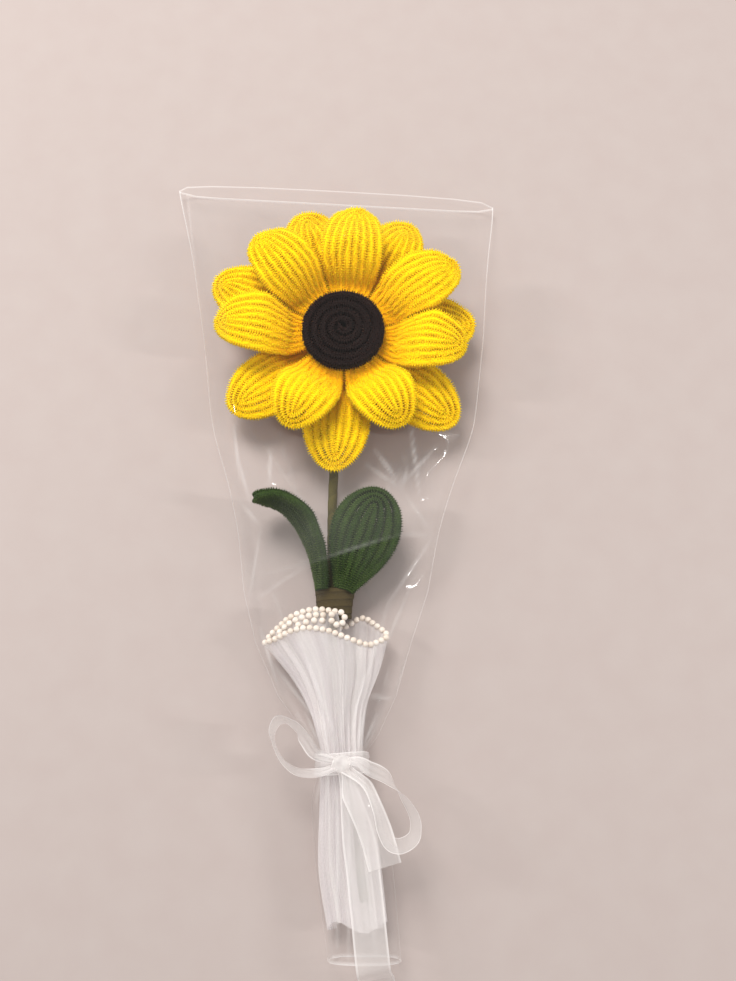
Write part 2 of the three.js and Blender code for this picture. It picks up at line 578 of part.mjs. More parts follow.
// Ribbon bow: a wrap round the neck, a knot, two loops and two tails, the longer one down to the surface.
const knotZ = neckZ + wrapInner + RIBBON_WALL + KNOT.rise;
const fromKnot = ([x, y, rise]) => new THREE.Vector3(x, neckY + y, knotZ + rise);
const leaning = (row) => new THREE.Vector3(row[3], row[4], 1);
const loop = (path) => ribbonBand(path.map(fromKnot), path.map(leaning), true);
const tail = (points) => ribbonBand(points, points.map(() => new THREE.Vector3(1, TAIL_LEAN, 0)), false);
const wrapRows = (radius) => [RIBBON_WRAP_WIDTH / 2, -RIBBON_WRAP_WIDTH / 2].map((y) => ovalRow({
  y: neckY + y, x: NECK_X, z: neckZ, halfWidth: radius, halfHeight: radius,
}, WRAP_SIDES));
const knot = new THREE.SphereGeometry(0.5, KNOT.around, KNOT.along);
knot.scale(KNOT.width, KNOT.length, KNOT.height).translate(NECK_X, neckY, knotZ);
addPiece('ribbon_bow', join([
  sheet(wrapRows(wrapInner + RIBBON_WALL), wrapRows(wrapInner), true),
  knot,
  loop(LEFT_LOOP),
  loop(RIGHT_LOOP),
  tail(SHORT_TAIL.map(fromKnot)),
  tail([
    ...LONG_TAIL.map(fromKnot),
    ...TAIL_OVER_FOOT.map(([x, beyond, rise]) => new THREE.Vector3(x, footY - beyond, knotZ + rise)),
    new THREE.Vector3(TAIL_END_X, footY - TAIL_BEYOND_FOOT, RIBBON_WALL),
  ]),
]), 'ribbon');

export default flower;
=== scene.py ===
# %% [markdown]
# # A wrapped chenille sunflower
# The flower lies on its back in a clear sleeve, face up. Every piece below is built in millimetres in the
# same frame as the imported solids: the origin on the table under the middle of the flower, +Y from the foot to
# the head, +Z up out of the face. Lengths become metres when a mesh is made.

# %% Frame
import math

import bpy
import numpy as np
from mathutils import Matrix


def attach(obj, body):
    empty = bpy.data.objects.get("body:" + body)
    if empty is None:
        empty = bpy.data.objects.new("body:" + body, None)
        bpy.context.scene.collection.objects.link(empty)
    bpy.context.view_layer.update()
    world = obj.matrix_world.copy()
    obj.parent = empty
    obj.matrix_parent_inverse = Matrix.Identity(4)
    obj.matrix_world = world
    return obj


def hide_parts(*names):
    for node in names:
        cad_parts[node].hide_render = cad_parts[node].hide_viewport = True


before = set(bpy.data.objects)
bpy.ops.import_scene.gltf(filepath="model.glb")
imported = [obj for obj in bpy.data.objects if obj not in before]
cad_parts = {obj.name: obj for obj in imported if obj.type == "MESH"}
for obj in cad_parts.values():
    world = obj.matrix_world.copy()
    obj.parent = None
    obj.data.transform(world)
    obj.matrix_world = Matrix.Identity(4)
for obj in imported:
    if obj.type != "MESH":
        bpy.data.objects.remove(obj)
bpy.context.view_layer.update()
MM = 0.001

# %% [markdown]
# ## Camera
# The picture of the real flower looks straight at its face from the stem's side of the head, so the camera
# hangs over the lying flower and leans back a little. The focal length is in pixels of a 981-pixel frame.

# %% Camera
CAMERA_PLACE = (0.0125, -0.2037, 0.4918)
CAMERA_LEAN = 14.5
FOCAL_PIXELS = 1000
FRAME_PIXELS = 981
SENSOR = 36

camera_data = bpy.data.cameras.new("camera")
camera_data.sensor_width = SENSOR
camera_data.lens = SENSOR * FOCAL_PIXELS / FRAME_PIXELS
camera = bpy.data.objects.new("camera", camera_data)
camera.location = CAMERA_PLACE
camera.rotation_euler = (math.radians(CAMERA_LEAN), 0, 0)
bpy.context.collection.objects.link(camera)
scene = bpy.context.scene
scene.camera = camera
scene.view_settings.view_transform = "Standard"
scene.cycles.transparent_max_bounces = 32
print("camera lens", round(camera_data.lens, 2), "mm")

# %% [markdown]
# ## Writing materials
# A material is a small graph of nodes. Written out in full, each node takes several lines, so two classes
# keep it readable: Finish adds any node in one call, and Wire lets the values between nodes be added and
# multiplied as Python numbers are. Each piece carries one UV map, named OFBake, that its patterns read, so
# a pattern stays on its strand, turn or edge. Only the film's folds, and on the front panel a painted
# reflection on one facet, read a value kept on the points instead.

# %% Values between nodes
class Wire:
    """One output socket. An operator on it adds one Math node and gives that node's output."""

    def __init__(self, finish, socket):
        self.finish, self.socket = finish, socket

    def math(self, operation, second=0.0):
        return self.finish.math(operation, self, second)

    def __add__(self, other):
        return self.math("ADD", other)

    def __sub__(self, other):
        return self.math("SUBTRACT", other)

    def __rsub__(self, other):
        return self.finish.math("SUBTRACT", other, self)

    def __mul__(self, other):
        return self.math("MULTIPLY", other)

    __radd__ = __add__
    __rmul__ = __mul__

    def clamped(self):
        return self.math("MAXIMUM", 0.0).math("MINIMUM", 1.0)

    def past_whole(self):
        """The value less the whole number below it."""
        return self - self.math("FLOOR")

    def from_middle(self):
        """0 where the value is a half, and 1 where it is 0 or 1."""
        return (self - 0.5).math("ABSOLUTE") * 2


print("Wire ready")

# %% Nodes of a material
class Finish:
    """A material being written. add() takes a node's type, its settings, and its sockets' values or wires."""

    def __init__(self, name):
        self.material = bpy.data.materials.new(name)
        self.material.use_nodes = True
        self.tree = self.material.node_tree
        self.tree.nodes.clear()

    def add(self, kind, settings=None, sockets=None, out=0):
        node = self.tree.nodes.new(kind)
        settings = dict(settings or {})
        for place, (spot, colour) in enumerate(settings.pop("stops", [])):
            elements = node.color_ramp.elements
            element = elements[place] if place < len(elements) else elements.new(spot)
            element.position, element.color = spot, colour
        for key, value in settings.items():
            setattr(node, key, value)
        for key, value in (sockets or {}).items():
            if isinstance(value, Wire):
                self.tree.links.new(value.socket, node.inputs[key])
            else:
                node.inputs[key].default_value = value
        return Wire(self, node.outputs[out]) if node.outputs else None

    def math(self, operation, first, second):
        return self.add("ShaderNodeMath", {"operation": operation}, {0: first, 1: second})

    def across_along(self):
        """The two numbers of the piece's UV map."""
        place = self.add("ShaderNodeUVMap", {"uv_map": "OFBake"})
        return [self.add("ShaderNodeSeparateXYZ", None, {0: place}, out) for out in (0, 1)]

    def noise(self, across, along, detail):
        spot = self.add("ShaderNodeCombineXYZ", None, {0: across, 1: along})
        sockets = {"Vector": spot, "Scale": 1.0, "Detail": detail}
        return self.add("ShaderNodeTexNoise", {"noise_dimensions": "2D"}, sockets)

    def ramp(self, factor, spots, colours):
        stops = [(spot, rgb(*colour)) for spot, colour in zip(spots, colours)]
        return self.add("ShaderNodeValToRGB", {"stops": stops}, {0: factor})

    def mix(self, factor, first, second):
        return self.add("ShaderNodeMix", {"data_type": "RGBA"}, {0: factor, 6: first, 7: second}, 2)

    def solid(self, **sockets):
        names = {key.replace("_", " ").title().replace("Ior", "IOR"): value for key, value in sockets.items()}
        return self.add("ShaderNodeBsdfPrincipled", None, names)

    def blend(self, factor, first, second):
        return self.add("ShaderNodeMixShader", None, {0: factor, 1: first, 2: second})

    def shown(self, surface):
        self.add("ShaderNodeOutputMaterial", None, {"Surface": surface})
        return self.material

    def sheer(self, cover, through, colour, **sockets):
        """Open cloth: cover blends from clear to cloth, of which the share through lets light pass."""
        front = self.solid(base_color=colour, **sockets)
        lit_through = self.add("ShaderNodeBsdfTranslucent", None, {"Color": colour})
        cloth = self.blend(through, front, lit_through)
        return self.shown(self.blend(cover, self.add("ShaderNodeBsdfTransparent"), cloth))


def rgb(red, green, blue):
    """A colour given as it looks on screen, 0 to 255, made linear by the sRGB curve, with an alpha of 1."""
    level = np.array([red, green, blue]) / 255
    linear = np.where(level <= 0.04045, level / 12.92, ((level + 0.055) / 1.055) ** 2.4)
    return (*linear.tolist(), 1.0)


print("Finish ready")

# %% [markdown]
# ## From arrays to meshes
# A mesh could be modelled by hand or added to point by point, but a strand of pile has thousands of points.
# So shapes are worked out as whole arrays. A surface is a grid of points, and a helper joins neighbours in
# the grid into four-cornered faces. Another puts the arrays into a mesh, names its UV map, hangs it on the
# root body and hides the imported parts that it replaces.

# %% Grids and pieces
def unit(vectors):
    """Vectors divided by their lengths."""
    return vectors / np.maximum(np.linalg.norm(vectors, axis=-1, keepdims=True), 1e-12)


def grid_faces(rows, columns, closed=False):
    """Corners of a grid's quads, row direction first, so that rows x columns point out. closed joins the
    last column to the first. Also the (column, row) of each corner, counted past the seam, for its UV."""
    row, column = np.meshgrid(np.arange(rows - 1), np.arange(columns - (not closed)), indexing="ij")
    row, column = row.ravel()[:, None], column.ravel()[:, None]
    at_row = row + np.array([0, 1, 1, 0])
    at_column = column + np.array([0, 0, 1, 1])
    spans = np.array([columns if closed else columns - 1, rows - 1])
    places = np.stack([at_column, at_row], -1) / spans
    return at_row * columns + at_column % columns, places


def stacked(faces, points):
    """Corner arrays of several meshes as one, each counted on from the points of the meshes before it."""
    starts = np.cumsum([0] + [len(p) for p in points[:-1]])
    return np.concatenate([f + start for f, start in zip(faces, starts)])


def make_piece(name, points, faces, places, finish, replaced):
    """A mesh from points in millimetres, a list of corner arrays and the UV place of each corner."""
    mesh = bpy.data.meshes.new(name)
    corners = np.concatenate([f.ravel() for f in faces]).astype(np.int32)
    sizes = np.concatenate([np.full(len(f), f.shape[1]) for f in faces])
    mesh.vertices.add(len(points))
    mesh.vertices.foreach_set("co", (np.asarray(points) * MM).astype(np.float32).ravel())
    mesh.loops.add(len(corners))
    mesh.loops.foreach_set("vertex_index", corners)
    mesh.polygons.add(len(sizes))
    mesh.polygons.foreach_set("loop_start", (np.cumsum(sizes) - sizes).astype(np.int32))
    mesh.polygons.foreach_set("use_smooth", np.ones(len(sizes), bool))
    mesh.update(calc_edges=True)
    layer = mesh.uv_layers.new(name="OFBake")
    layer.uv.foreach_set("vector", np.asarray(places, np.float32).ravel())
    mesh.validate()
    mesh.materials.append(finish)
    piece = bpy.data.objects.new(name, mesh)
    bpy.context.collection.objects.link(piece)
    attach(piece, "root")
    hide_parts(*replaced)
    print(name, len(points), "points", int((sizes - 2).sum()), "triangles")
    return piece


print("grids ready")

# %% [markdown]
# ## Smooth paths
# Stems, ribbons and edges follow paths. A curve object could hold one, but arrays are easier to work on, so
# a path is a short list of knots, a smooth curve through them, and points at equal distances.

# %% Paths
def smooth_path(points, count):
    """count points of a centripetal Catmull-Rom curve: a cubic on each stretch, whose end slopes weigh the
    neighbouring chords by the root of their length."""
    knots = np.asarray(points, float)
    knots = np.vstack([2 * knots[0] - knots[1], knots, 2 * knots[-1] - knots[-2]])
    gaps = np.sqrt(np.linalg.norm(np.diff(knots, axis=0), axis=1))[:, None]
    place = np.linspace(0, len(points) - 1, count)
    first = np.minimum(place.astype(int), len(points) - 2)
    t = (place - first)[:, None]
    a, b, c, d = (knots[first + k] for k in range(4))
    ga, gb, gc = (gaps[first + k] for k in range(3))
    slope_b = ((b - a) / ga - (c - a) / (ga + gb) + (c - b) / gb) * gb
    slope_c = ((c - b) / gb - (d - b) / (gb + gc) + (d - c) / gc) * gb
    bend, rise = 2 * b - 2 * c + slope_b + slope_c, -3 * b + 3 * c - 2 * slope_b - slope_c
    return ((bend * t + rise) * t + slope_b) * t + b


def path_run(path):
    """The distance along a path at each of its points, the running sum of its steps."""
    return np.concatenate([[0], np.cumsum(np.linalg.norm(np.diff(path, axis=0), axis=1))])


def even_rows(table, run, count):
    """count rows of a table at equal distances along its run, straight between its own rows."""
    return np.stack([np.interp(np.linspace(0, run[-1], count), run, column) for column in table.T], 1)


def even_path(path, step):
    """The same path with points at equal distances, about step apart."""
    run = path_run(path)
    return even_rows(path, run, max(int(run[-1] / step), 2) + 1)


def smoothstep(value, low, high):
    """0 below low, 1 above high, and 3 t^2 - 2 t^3 between them."""
    t = np.clip((value - low) / (high - low), 0, 1)
    return t * t * (3 - 2 * t)


print("paths ready")

# %% [markdown]
# ## Chenille
# A chenille stem is a twisted wire that grips rows of short pile, so it looks like a soft bottle brush. A
# smooth tube with a bump would keep a hard outline, and hair is lost on export. Here each strand is a tube of
# packed pile plus rows of tapered tufts that stand out of it, one row for each twist of the wire. A point's
# tint and its depth, which carries painted shade deep in the pile and under the strand, are its UV place, so
# one small colour chart serves the tube and the tufts.

# %% Tube of pile
TUBE_SIDES = 8
TINT_SPREAD = 0.12
SQUARE = 0.5


def squared(wave):
    """A sine or cosine pushed towards its ends, which turns a circle into a rounded square."""
    return np.sign(wave) * np.abs(wave) ** SQUARE


def pile_tube(path, side, up, wide, tall, shade, tint, rng):
    """Points, quads, end triangles, and each point's tint and depth. The depth is painted light: lighter on the
    tube's top and darker under it, a painted shade. The ring at a point of the path is
    path + wide cos(a) side + tall sin(a) up, both waves squared."""
    steps = len(path)
    angle = np.linspace(0, 2 * np.pi, TUBE_SIDES, endpoint=False)
    lateral = (wide[:, None] * squared(np.cos(angle)))[..., None] * side[:, None]
    tube = path[:, None] + lateral + (tall[:, None] * squared(np.sin(angle)))[..., None] * up[:, None]
    # Painted light: the tube is lighter on its top and darker under it, a painted shade.
    depth = shade[:, None] * (0.36 + 0.24 * np.sin(angle))
    tints = tint[:, None] + rng.uniform(-TINT_SPREAD, TINT_SPREAD, (steps, TUBE_SIDES))
    quads, _ = grid_faces(steps, TUBE_SIDES, closed=True)
    fan = np.arange(1, TUBE_SIDES - 1)
    first_cap = np.stack([np.zeros_like(fan), fan, fan + 1], 1)
    caps = np.concatenate([first_cap, first_cap[:, ::-1] + (steps - 1) * TUBE_SIDES])
    return tube.reshape(-1, 3), quads, caps, np.stack([tints.ravel(), depth.ravel()], 1)


print("tube of pile ready")

# %% Tufts
TUFT_PITCH = 1.15
TUFT_HALF_WIDTH = 0.52
TUFT_FLATNESS = 0.5
TUFT_BACK = 1.4
TUFT_SEAT = 0.86
TUFT_LENGTHS = (0.75, 1.1)
TURN_SPREAD = 0.12
ROW_SPREAD = 0.07
TIP_LEAN = 0.12
TIP_SPREAD = 0.1
CREST_HIGHLIGHT = 0.5
CREST_FROM = 0.75
TUFT_CORNERS = np.array([[0, 1, 2], [0, 3, 1], [1, 3, 2], [2, 3, 0]])
CORNER_TINTS = np.array([-0.02, 0.02, 0, 0])


def pile_tufts(strand, pile, around, rng):
    """Tapered tufts, a row for each pitch. The strand's columns are path, tangent, side and up, three each,
    then wide, tall, shade and tint. A tuft has three corners in the tube and a tip some pile further out."""
    rows = max(int(path_run(strand[:, :3])[-1] / TUFT_PITCH), 1)
    turn = rng.uniform(0, 2 * np.pi, (rows, 1)) + np.arange(around) * (2 * np.pi / around)
    turn = (turn + rng.normal(0, TURN_SPREAD, turn.shape)).ravel()
    row = np.repeat(np.arange(rows), around) + 0.5 + rng.normal(0, ROW_SPREAD, rows * around)
    place = np.clip(row / rows, 0, 1) * (len(strand) - 1)
    low = np.minimum(place.astype(int), len(strand) - 2)
    blend = (place - low)[:, None]
    here = strand[low] * (1 - blend) + strand[low + 1] * blend
    centre, along, across, above = (here[:, 3 * k:3 * k + 3] for k in range(4))
    broad, high, lit, hue = here[:, 12:].T
    cosine, sine = squared(np.cos(turn))[:, None], squared(np.sin(turn))[:, None]
    base = centre + TUFT_SEAT * (broad[:, None] * cosine * across + high[:, None] * sine * above)
    sweep = TUFT_HALF_WIDTH * (cosine * above - sine * across)
    out = (pile * rng.uniform(*TUFT_LENGTHS, len(turn)))[:, None]
    tip = centre + (broad[:, None] + out) * cosine * across + (high[:, None] + out) * sine * above
    tip = tip + rng.normal(0, TIP_LEAN, (len(turn), 1)) * along + rng.normal(0, TIP_SPREAD, tip.shape)
    thick = TUFT_FLATNESS * TUFT_HALF_WIDTH * along
    tufts = np.stack([base - sweep - thick, base + sweep - thick, base + TUFT_BACK * thick, tip], 1)
    # Tufts on a strand's top lean to the paler ramp, a painted highlight along each crest.
    crest = CREST_HIGHLIGHT * smoothstep(np.sin(turn), CREST_FROM, 1)
    tints = (hue + rng.uniform(-TINT_SPREAD, TINT_SPREAD, len(turn)) + crest)[:, None] + CORNER_TINTS
    # Painted shade: a tuft's root is darker than its tip, and tufts that face down are darker than those that
    # face up.
    facing = 0.5 + 0.5 * np.sin(turn)
    root, crown = lit * (0.32 + 0.2 * facing), lit * (0.55 + 0.45 * facing)
    depth = np.stack([root, root, root + 0.03, crown], 1)
    spikes = (TUFT_CORNERS + 4 * np.arange(len(turn))[:, None, None]).reshape(-1, 3)
    return tufts.reshape(-1, 3), spikes, np.stack([tints.ravel(), depth.ravel()], 1)


print("tufts ready")

# %% [markdown]
# ## Chenille colour
# Deep in the pile, on each strand's underside and towards a petal's root by the disc the colour is darker,
# a painted shade, and the strands' tops are lighter, a painted highlight. No two fibres are quite alike. A
# noise over the surface would put the dark spots anywhere, so the colour comes from each point's place in the
# chart: its depth, which carries this painted light and shade, picks along two ramps, and its tint picks
# between them. The pile is matt, with a faint sheen.

# %% Strands into pieces
CHART_EDGE = 0.01


def pile_strand(path, normal, wide, tall, shade, tint, pile, around, rng):
    """A tube of pile with its tufts. shade and tint run along the path."""
    tangent = unit(np.gradient(path, axis=0))
    side = unit(np.cross(tangent, normal))
    up = np.cross(side, tangent)
    tube, quads, caps, tube_chart = pile_tube(path, side, up, wide, tall, shade, tint, rng)
    strand = np.column_stack([path, tangent, side, up, wide, tall, shade, tint])
    tufts, spikes, tuft_chart = pile_tufts(strand, pile, around, rng)
    chart = np.clip(np.concatenate([tube_chart, tuft_chart]), CHART_EDGE, 1 - CHART_EDGE)
    return np.concatenate([tube, tufts]), quads, np.concatenate([caps, spikes + len(tube)]), chart


def chenille_piece(name, strands, finish, replaced):
    """Several strands put into one mesh."""
    points, quads, triangles, charts = zip(*strands)
    faces = [stacked(quads, points), stacked(triangles, points)]
    corners = np.concatenate([f.ravel() for f in faces])
    return make_piece(
        name, np.concatenate(points), faces, np.concatenate(charts)[corners], finish, replaced,
    )


def chenille_finish(name, sheen, spots, warm, cool):
    """Colour from the chart: the depth, painted light and shade of the pile, picks along two ramps, and the
    tint picks between them.
    """
    finish = Finish(name)
    tint, depth = finish.across_along()
    colour = finish.mix(tint, finish.ramp(depth, spots, warm), finish.ramp(depth, spots, cool))
    return finish.shown(finish.solid(
        base_color=colour, roughness=0.9, sheen_weight=sheen, sheen_roughness=0.5, specular_ior_level=0.2,
    ))


YELLOW = chenille_finish(
    "yellow chenille", 0.04, (0.05, 0.3, 0.6, 0.95),
    [(228, 122, 0), (252, 180, 0), (255, 213, 0), (255, 228, 0)],
    [(236, 136, 0), (254, 192, 0), (255, 222, 0), (255, 235, 0)],
)
print("strands of pile ready")

# %% [markdown]
# ## Petals
# A petal is one long yellow stem wound into four nested loops, so eight strands lie side by side. Each
# could be drawn by hand as a curve, but fourteen petals have more than a hundred. So the loops of a petal
# are drawn flat by a formula and then carried onto its bent surface: distance along the spine, distance to
# the side. The spine runs flat under the flower's middle, bends up beside it, arches over and droops at the
# tip.

# %% Loops on a bent pad
STRANDS = 8
LOOPS = STRANDS // 2
BUNCH = 0.6
ROOT_WIDTH = 7.4
CAMBER = 2.5
WIDEST = 0.6
SPINE_STEPS = 240
LOOP_STEPS = 90
LEAST_SQUEEZE = 0.5


def bent_spine(bends):
    """Distances along a spine with its x, z and slope. The slope runs straight between the given bends, and x
    and z add up its cosine and sine."""
    places, slopes = np.array(bends, float).T
    distance = np.linspace(0, places[-1], SPINE_STEPS + 1)
    slope = np.radians(np.interp(distance, places, slopes))
    step = places[-1] / SPINE_STEPS
    rates = np.cos(slope), np.sin(slope)
    x, z = (np.concatenate([[0], np.cumsum((rate[1:] + rate[:-1]) / 2 * step)]) for rate in rates)
    return distance, x, z, slope


def loop_line(k, width, spine, start, limit, base_shade):
    """Loop k of n on a pad, as rows of place, normal, squeeze and shade. It keeps the share (n - k - 1/2) / n
    of the half width, and its tip lies BUNCH pitches short of the loop outside it. The half width opens
    with a sine and closes with a circle. To the side the pad drops by the camber times the share squared."""
    distance, spine_x, spine_z, slope = spine
    share = (LOOPS - k - 0.5) / LOOPS
    reach = distance[-1] - (0.5 + BUNCH * k) * (width / STRANDS)
    t = 1 - (1 - np.linspace(0, 1, LOOP_STEPS)) ** 2
    s = start + t * (reach - start)
    opening = np.sin(np.pi / 2 * np.minimum(s / reach / WIDEST, 1))
    closing = np.sqrt(np.maximum(1 - (np.maximum(s / reach - WIDEST, 0) / (1 - WIDEST)) ** 2, 0))
    grown = (ROOT_WIDTH + (width - ROOT_WIDTH) * opening) / 2 * closing
    x = np.interp(s, distance, spine_x)
    half = {hand: np.minimum(grown, limit(x, hand)) if limit else grown for hand in (-1, 1)}
    s_all = np.concatenate([s, s[-2::-1]])
    w_all = share * np.concatenate([half[1], -half[-1][-2::-1]])
    body = np.concatenate([half[1], half[-1][-2::-1]])
    drop = CAMBER * share**2 * body / (width / 2)
    lean = np.interp(s_all, distance, slope)
    flat_normal = np.stack([-np.sin(lean), np.zeros_like(lean), np.cos(lean)], 1)
    spot = np.stack([np.interp(s_all, distance, spine_x), w_all, np.interp(s_all, distance, spine_z)], 1)
    tilt = 2 * CAMBER * share * np.sign(w_all) / (width / 2)
    normal = unit(flat_normal + tilt[:, None] * np.array([0, 1, 0]))
    squeeze = np.clip(body / (width / 2), LEAST_SQUEEZE, 1)
    shade = np.ones_like(s_all) if base_shade is None else base_shade(s_all)
    return np.column_stack([spot - drop[:, None] * flat_normal, normal, squeeze, shade])


print("loops ready")

# %% Strands of a pad
STRAND_HEIGHT = 5.2
TUBE_STEP = 0.85
FEWEST_STEPS = 8
TUFTS_AROUND = 14
PILE_INSIDE = 0.8
RIM_SWELL = 1.12
SWAY_RATES = (0.08, 0.5)
SWAY_HEIGHTS = np.array([0.3, 0.2, 0.12])
SWAY_UP = 0.7
STRAND_TINT = 0.25
SWAY_TINT = 0.15
STRAND_SPREAD = 0.1


def loop_strands(width, bends, start, limit, rng, pile, fullness, base_shade=None):
    """A strand along each loop of a pad. Its half width is fullness pitches, it sways up and down by three
    waves of random rate that also tint it, and the outermost one is a little thicker."""
    spine = bent_spine(bends)
    strands = []
    for k in range(LOOPS):
        line = loop_line(k, width, spine, start, limit, base_shade)
        run = path_run(line[:, :3])
        steps = max(int(run[-1] / TUBE_STEP), FEWEST_STEPS)
        even = even_rows(line, run, steps)
        along = np.linspace(0, run[-1], steps)[:, None]
        waves = np.sin(along * rng.uniform(*SWAY_RATES, 3) + rng.uniform(0, 6.3, 3)) * SWAY_HEIGHTS
        sway = waves.sum(1)
        path = even[:, :3] + even[:, 3:6] * sway[:, None] * SWAY_UP
        rim = RIM_SWELL if k == 0 else 1.0
        wide = fullness * (width / STRANDS) * rim * even[:, 6]
        tall = np.full(steps, (STRAND_HEIGHT / 2 - PILE_INSIDE * pile) * rim)
        tint = STRAND_TINT + sway * SWAY_TINT + rng.uniform(-STRAND_SPREAD, STRAND_SPREAD)
        normal, shade = unit(even[:, 3:6]), even[:, 7]
        strands.append(pile_strand(path, normal, wide, tall, shade, tint, pile, TUFTS_AROUND, rng))
    return strands


def placed(strands, turn, roll, root):
    """Strands turned about X by roll, then about Z by turn, and moved to root."""
    c, s = math.cos(math.radians(turn)), math.sin(math.radians(turn))
    cr, sr = math.cos(math.radians(roll)), math.sin(math.radians(roll))
    matrix = np.array([[c, -s, 0], [s, c, 0], [0, 0, 1]]) @ np.array([[1, 0, 0], [0, cr, -sr], [0, sr, cr]])
    return [(points @ matrix.T + root, *rest) for points, *rest in strands]


print("strands of a pad ready")

# %% [markdown]
# ## Two rings
# Seven petals stand steeply round the middle and seven lie flatter behind them, turned by about half a
# pitch, and all are pressed against their neighbours. A simulation could press them, but slowly. Here a
# petal's side simply ends at the plane midway to its neighbour, and each petal has its own heading and
# length.

# %% Both rings of petals
CLEARANCE = 0.3
DISC_RADIUS = 20.5
HUB_RADIUS = 8
HEAD_STEM_Z = 5.5
STEM_BEND = 5
PETAL_BEND = 7
PETAL_PILE = 1.15
PETAL_FULL = 0.515
LOOP_START = 0.55
ROOT_SHADE = 0.62
LIT_FROM = 0.45
root_radius = HUB_RADIUS + CLEARANCE
rise_radius = DISC_RADIUS + CLEARANCE + STRAND_HEIGHT / 2
hub_bottom = HEAD_STEM_Z + STEM_BEND + 2 * CLEARANCE
back_ring_z = hub_bottom + STRAND_HEIGHT / 2 + CLEARANCE
front_ring_z = back_ring_z + STRAND_HEIGHT + CAMBER / 2 + 2 * CLEARANCE
disc_bottom = front_ring_z + STRAND_HEIGHT / 2 + CLEARANCE
# A petal is a heading in degrees and a reach past the ring's own.
FRONT_RING = {
    "reach": 62, "width": 30, "rise": 58, "droop": -48, "z": front_ring_z,
    "petals": [(84, 4), (131, 5), (177, 2), (242, -4), (300, -3), (351, 0), (391, 5)],
}
BACK_RING = {
    "reach": 69, "width": 32, "rise": 22, "droop": -26, "z": back_ring_z,
    "petals": [(62, 5), (107, 6), (154, 6), (214, 0), (266, 2), (321, 4), (367, -1)],
}


def make_ring(prefix, ring, seed):
    """A petal at each heading. It stays on its own side of the planes midway to its neighbours."""
    petals, rise, droop = ring["petals"], math.radians(ring["rise"]), math.radians(ring["droop"])
    flat = rise_radius - root_radius
    bent = flat + PETAL_BEND
    bent_reach = rise_radius + PETAL_BEND * math.sin(rise) / rise
    arc_reach = (math.sin(rise) - math.sin(droop)) / (rise - droop)
    for i, (heading, extra) in enumerate(petals):
        rng = np.random.default_rng(seed + i)
        arc = (ring["reach"] + extra - bent_reach) / arc_reach

        def limit(x, hand):
            neighbour = petals[(i + hand) % len(petals)][0]
            half = math.radians(((neighbour - heading) * hand) % 360) / 2
            return (x + root_radius - STRAND_HEIGHT / 2) * math.tan(half) - CLEARANCE / 2 / math.cos(half)

        def shaded(s):
            return ROOT_SHADE + (1 - ROOT_SHADE) * smoothstep(s, flat, bent + LIT_FROM * arc)

        bends = [(0, 0), (flat, 0), (bent, ring["rise"]), (bent + arc, ring["droop"])]
        start = flat * LOOP_START
        strands = loop_strands(ring["width"], bends, start, limit, rng, PETAL_PILE, PETAL_FULL, shaded)
        angle = math.radians(heading)
        root = np.array([root_radius * math.cos(angle), root_radius * math.sin(angle), ring["z"]])
        node = f"{prefix}_{i + 1}"
        strands = placed(strands, heading, 0, root)
        chenille_piece(f"{node}_pile", strands, YELLOW, [node])


make_ring("front_petal", FRONT_RING, 100)
make_ring("back_petal", BACK_RING, 200)

# %% [markdown]
# ## Flower centre
# One dark brown stem is coiled flat into a button. A disc with a spiral bump would show a hard edge, so the
# same pile follows a spiral path: the radius grows by about a strand each turn, the last turn closes the
# rim, and the height falls with the square of the radius, so that the button is slightly domed.

# %% Coiled button
DISC_HEIGHT = 8
DISC_DOME = 1.6
COIL_START = 0.35
COIL_TURNS = 4.55
COIL_STEP = 0.8
COIL_EYE = 1.0
COIL_INSET = 2.7
COIL_SINK = 0.4
COIL_HALF_WIDTH = 1.4
COIL_HALF_HEIGHT = 2.8
COIL_TUFTS = 18
TAIL_STEPS = 16
TAIL_END = 0.25
TAIL_TUCK = 0.09
BROWN = chenille_finish(
    "brown chenille", 0.05, (0.05, 0.5, 0.95),
    [(6, 3, 3), (16, 9, 8), (36, 21, 18)], [(8, 4, 4), (23, 13, 12), (62, 38, 33)],
)
coil_turn = np.linspace(COIL_START, COIL_TURNS + 1, 700)
coil_share = np.minimum((coil_turn - COIL_START) / (COIL_TURNS - COIL_START), 1)
coil_radius = COIL_EYE + (DISC_RADIUS - COIL_INSET) * coil_share
coil_z = disc_bottom + DISC_HEIGHT / 2 - COIL_SINK - DISC_DOME * (coil_radius / DISC_RADIUS) ** 2
coil_angle = 2 * np.pi * coil_turn
spiral = np.stack([coil_radius * np.cos(coil_angle), coil_radius * np.sin(coil_angle), coil_z], 1)
coil = even_path(spiral, COIL_STEP)
coil_up = np.tile([0.0, 0.0, 1.0], (len(coil), 1))
coil_tint = 0.3 + 0.1 * np.sin(np.arange(len(coil)) * 0.31)
coil_full = np.minimum(1, TAIL_END + np.linspace(len(coil), 0, len(coil)) / TAIL_STEPS)
coil[:, :2] *= (1 - TAIL_TUCK * (1 - coil_full))[:, None]
centre_strand = pile_strand(
    coil, coil_up, COIL_HALF_WIDTH * coil_full, COIL_HALF_HEIGHT * coil_full, np.ones(len(coil)), coil_tint,
    PETAL_PILE, COIL_TUFTS, np.random.default_rng(300),
)
chenille_piece("flower_centre_pile", [centre_strand], BROWN, ["flower_centre"])
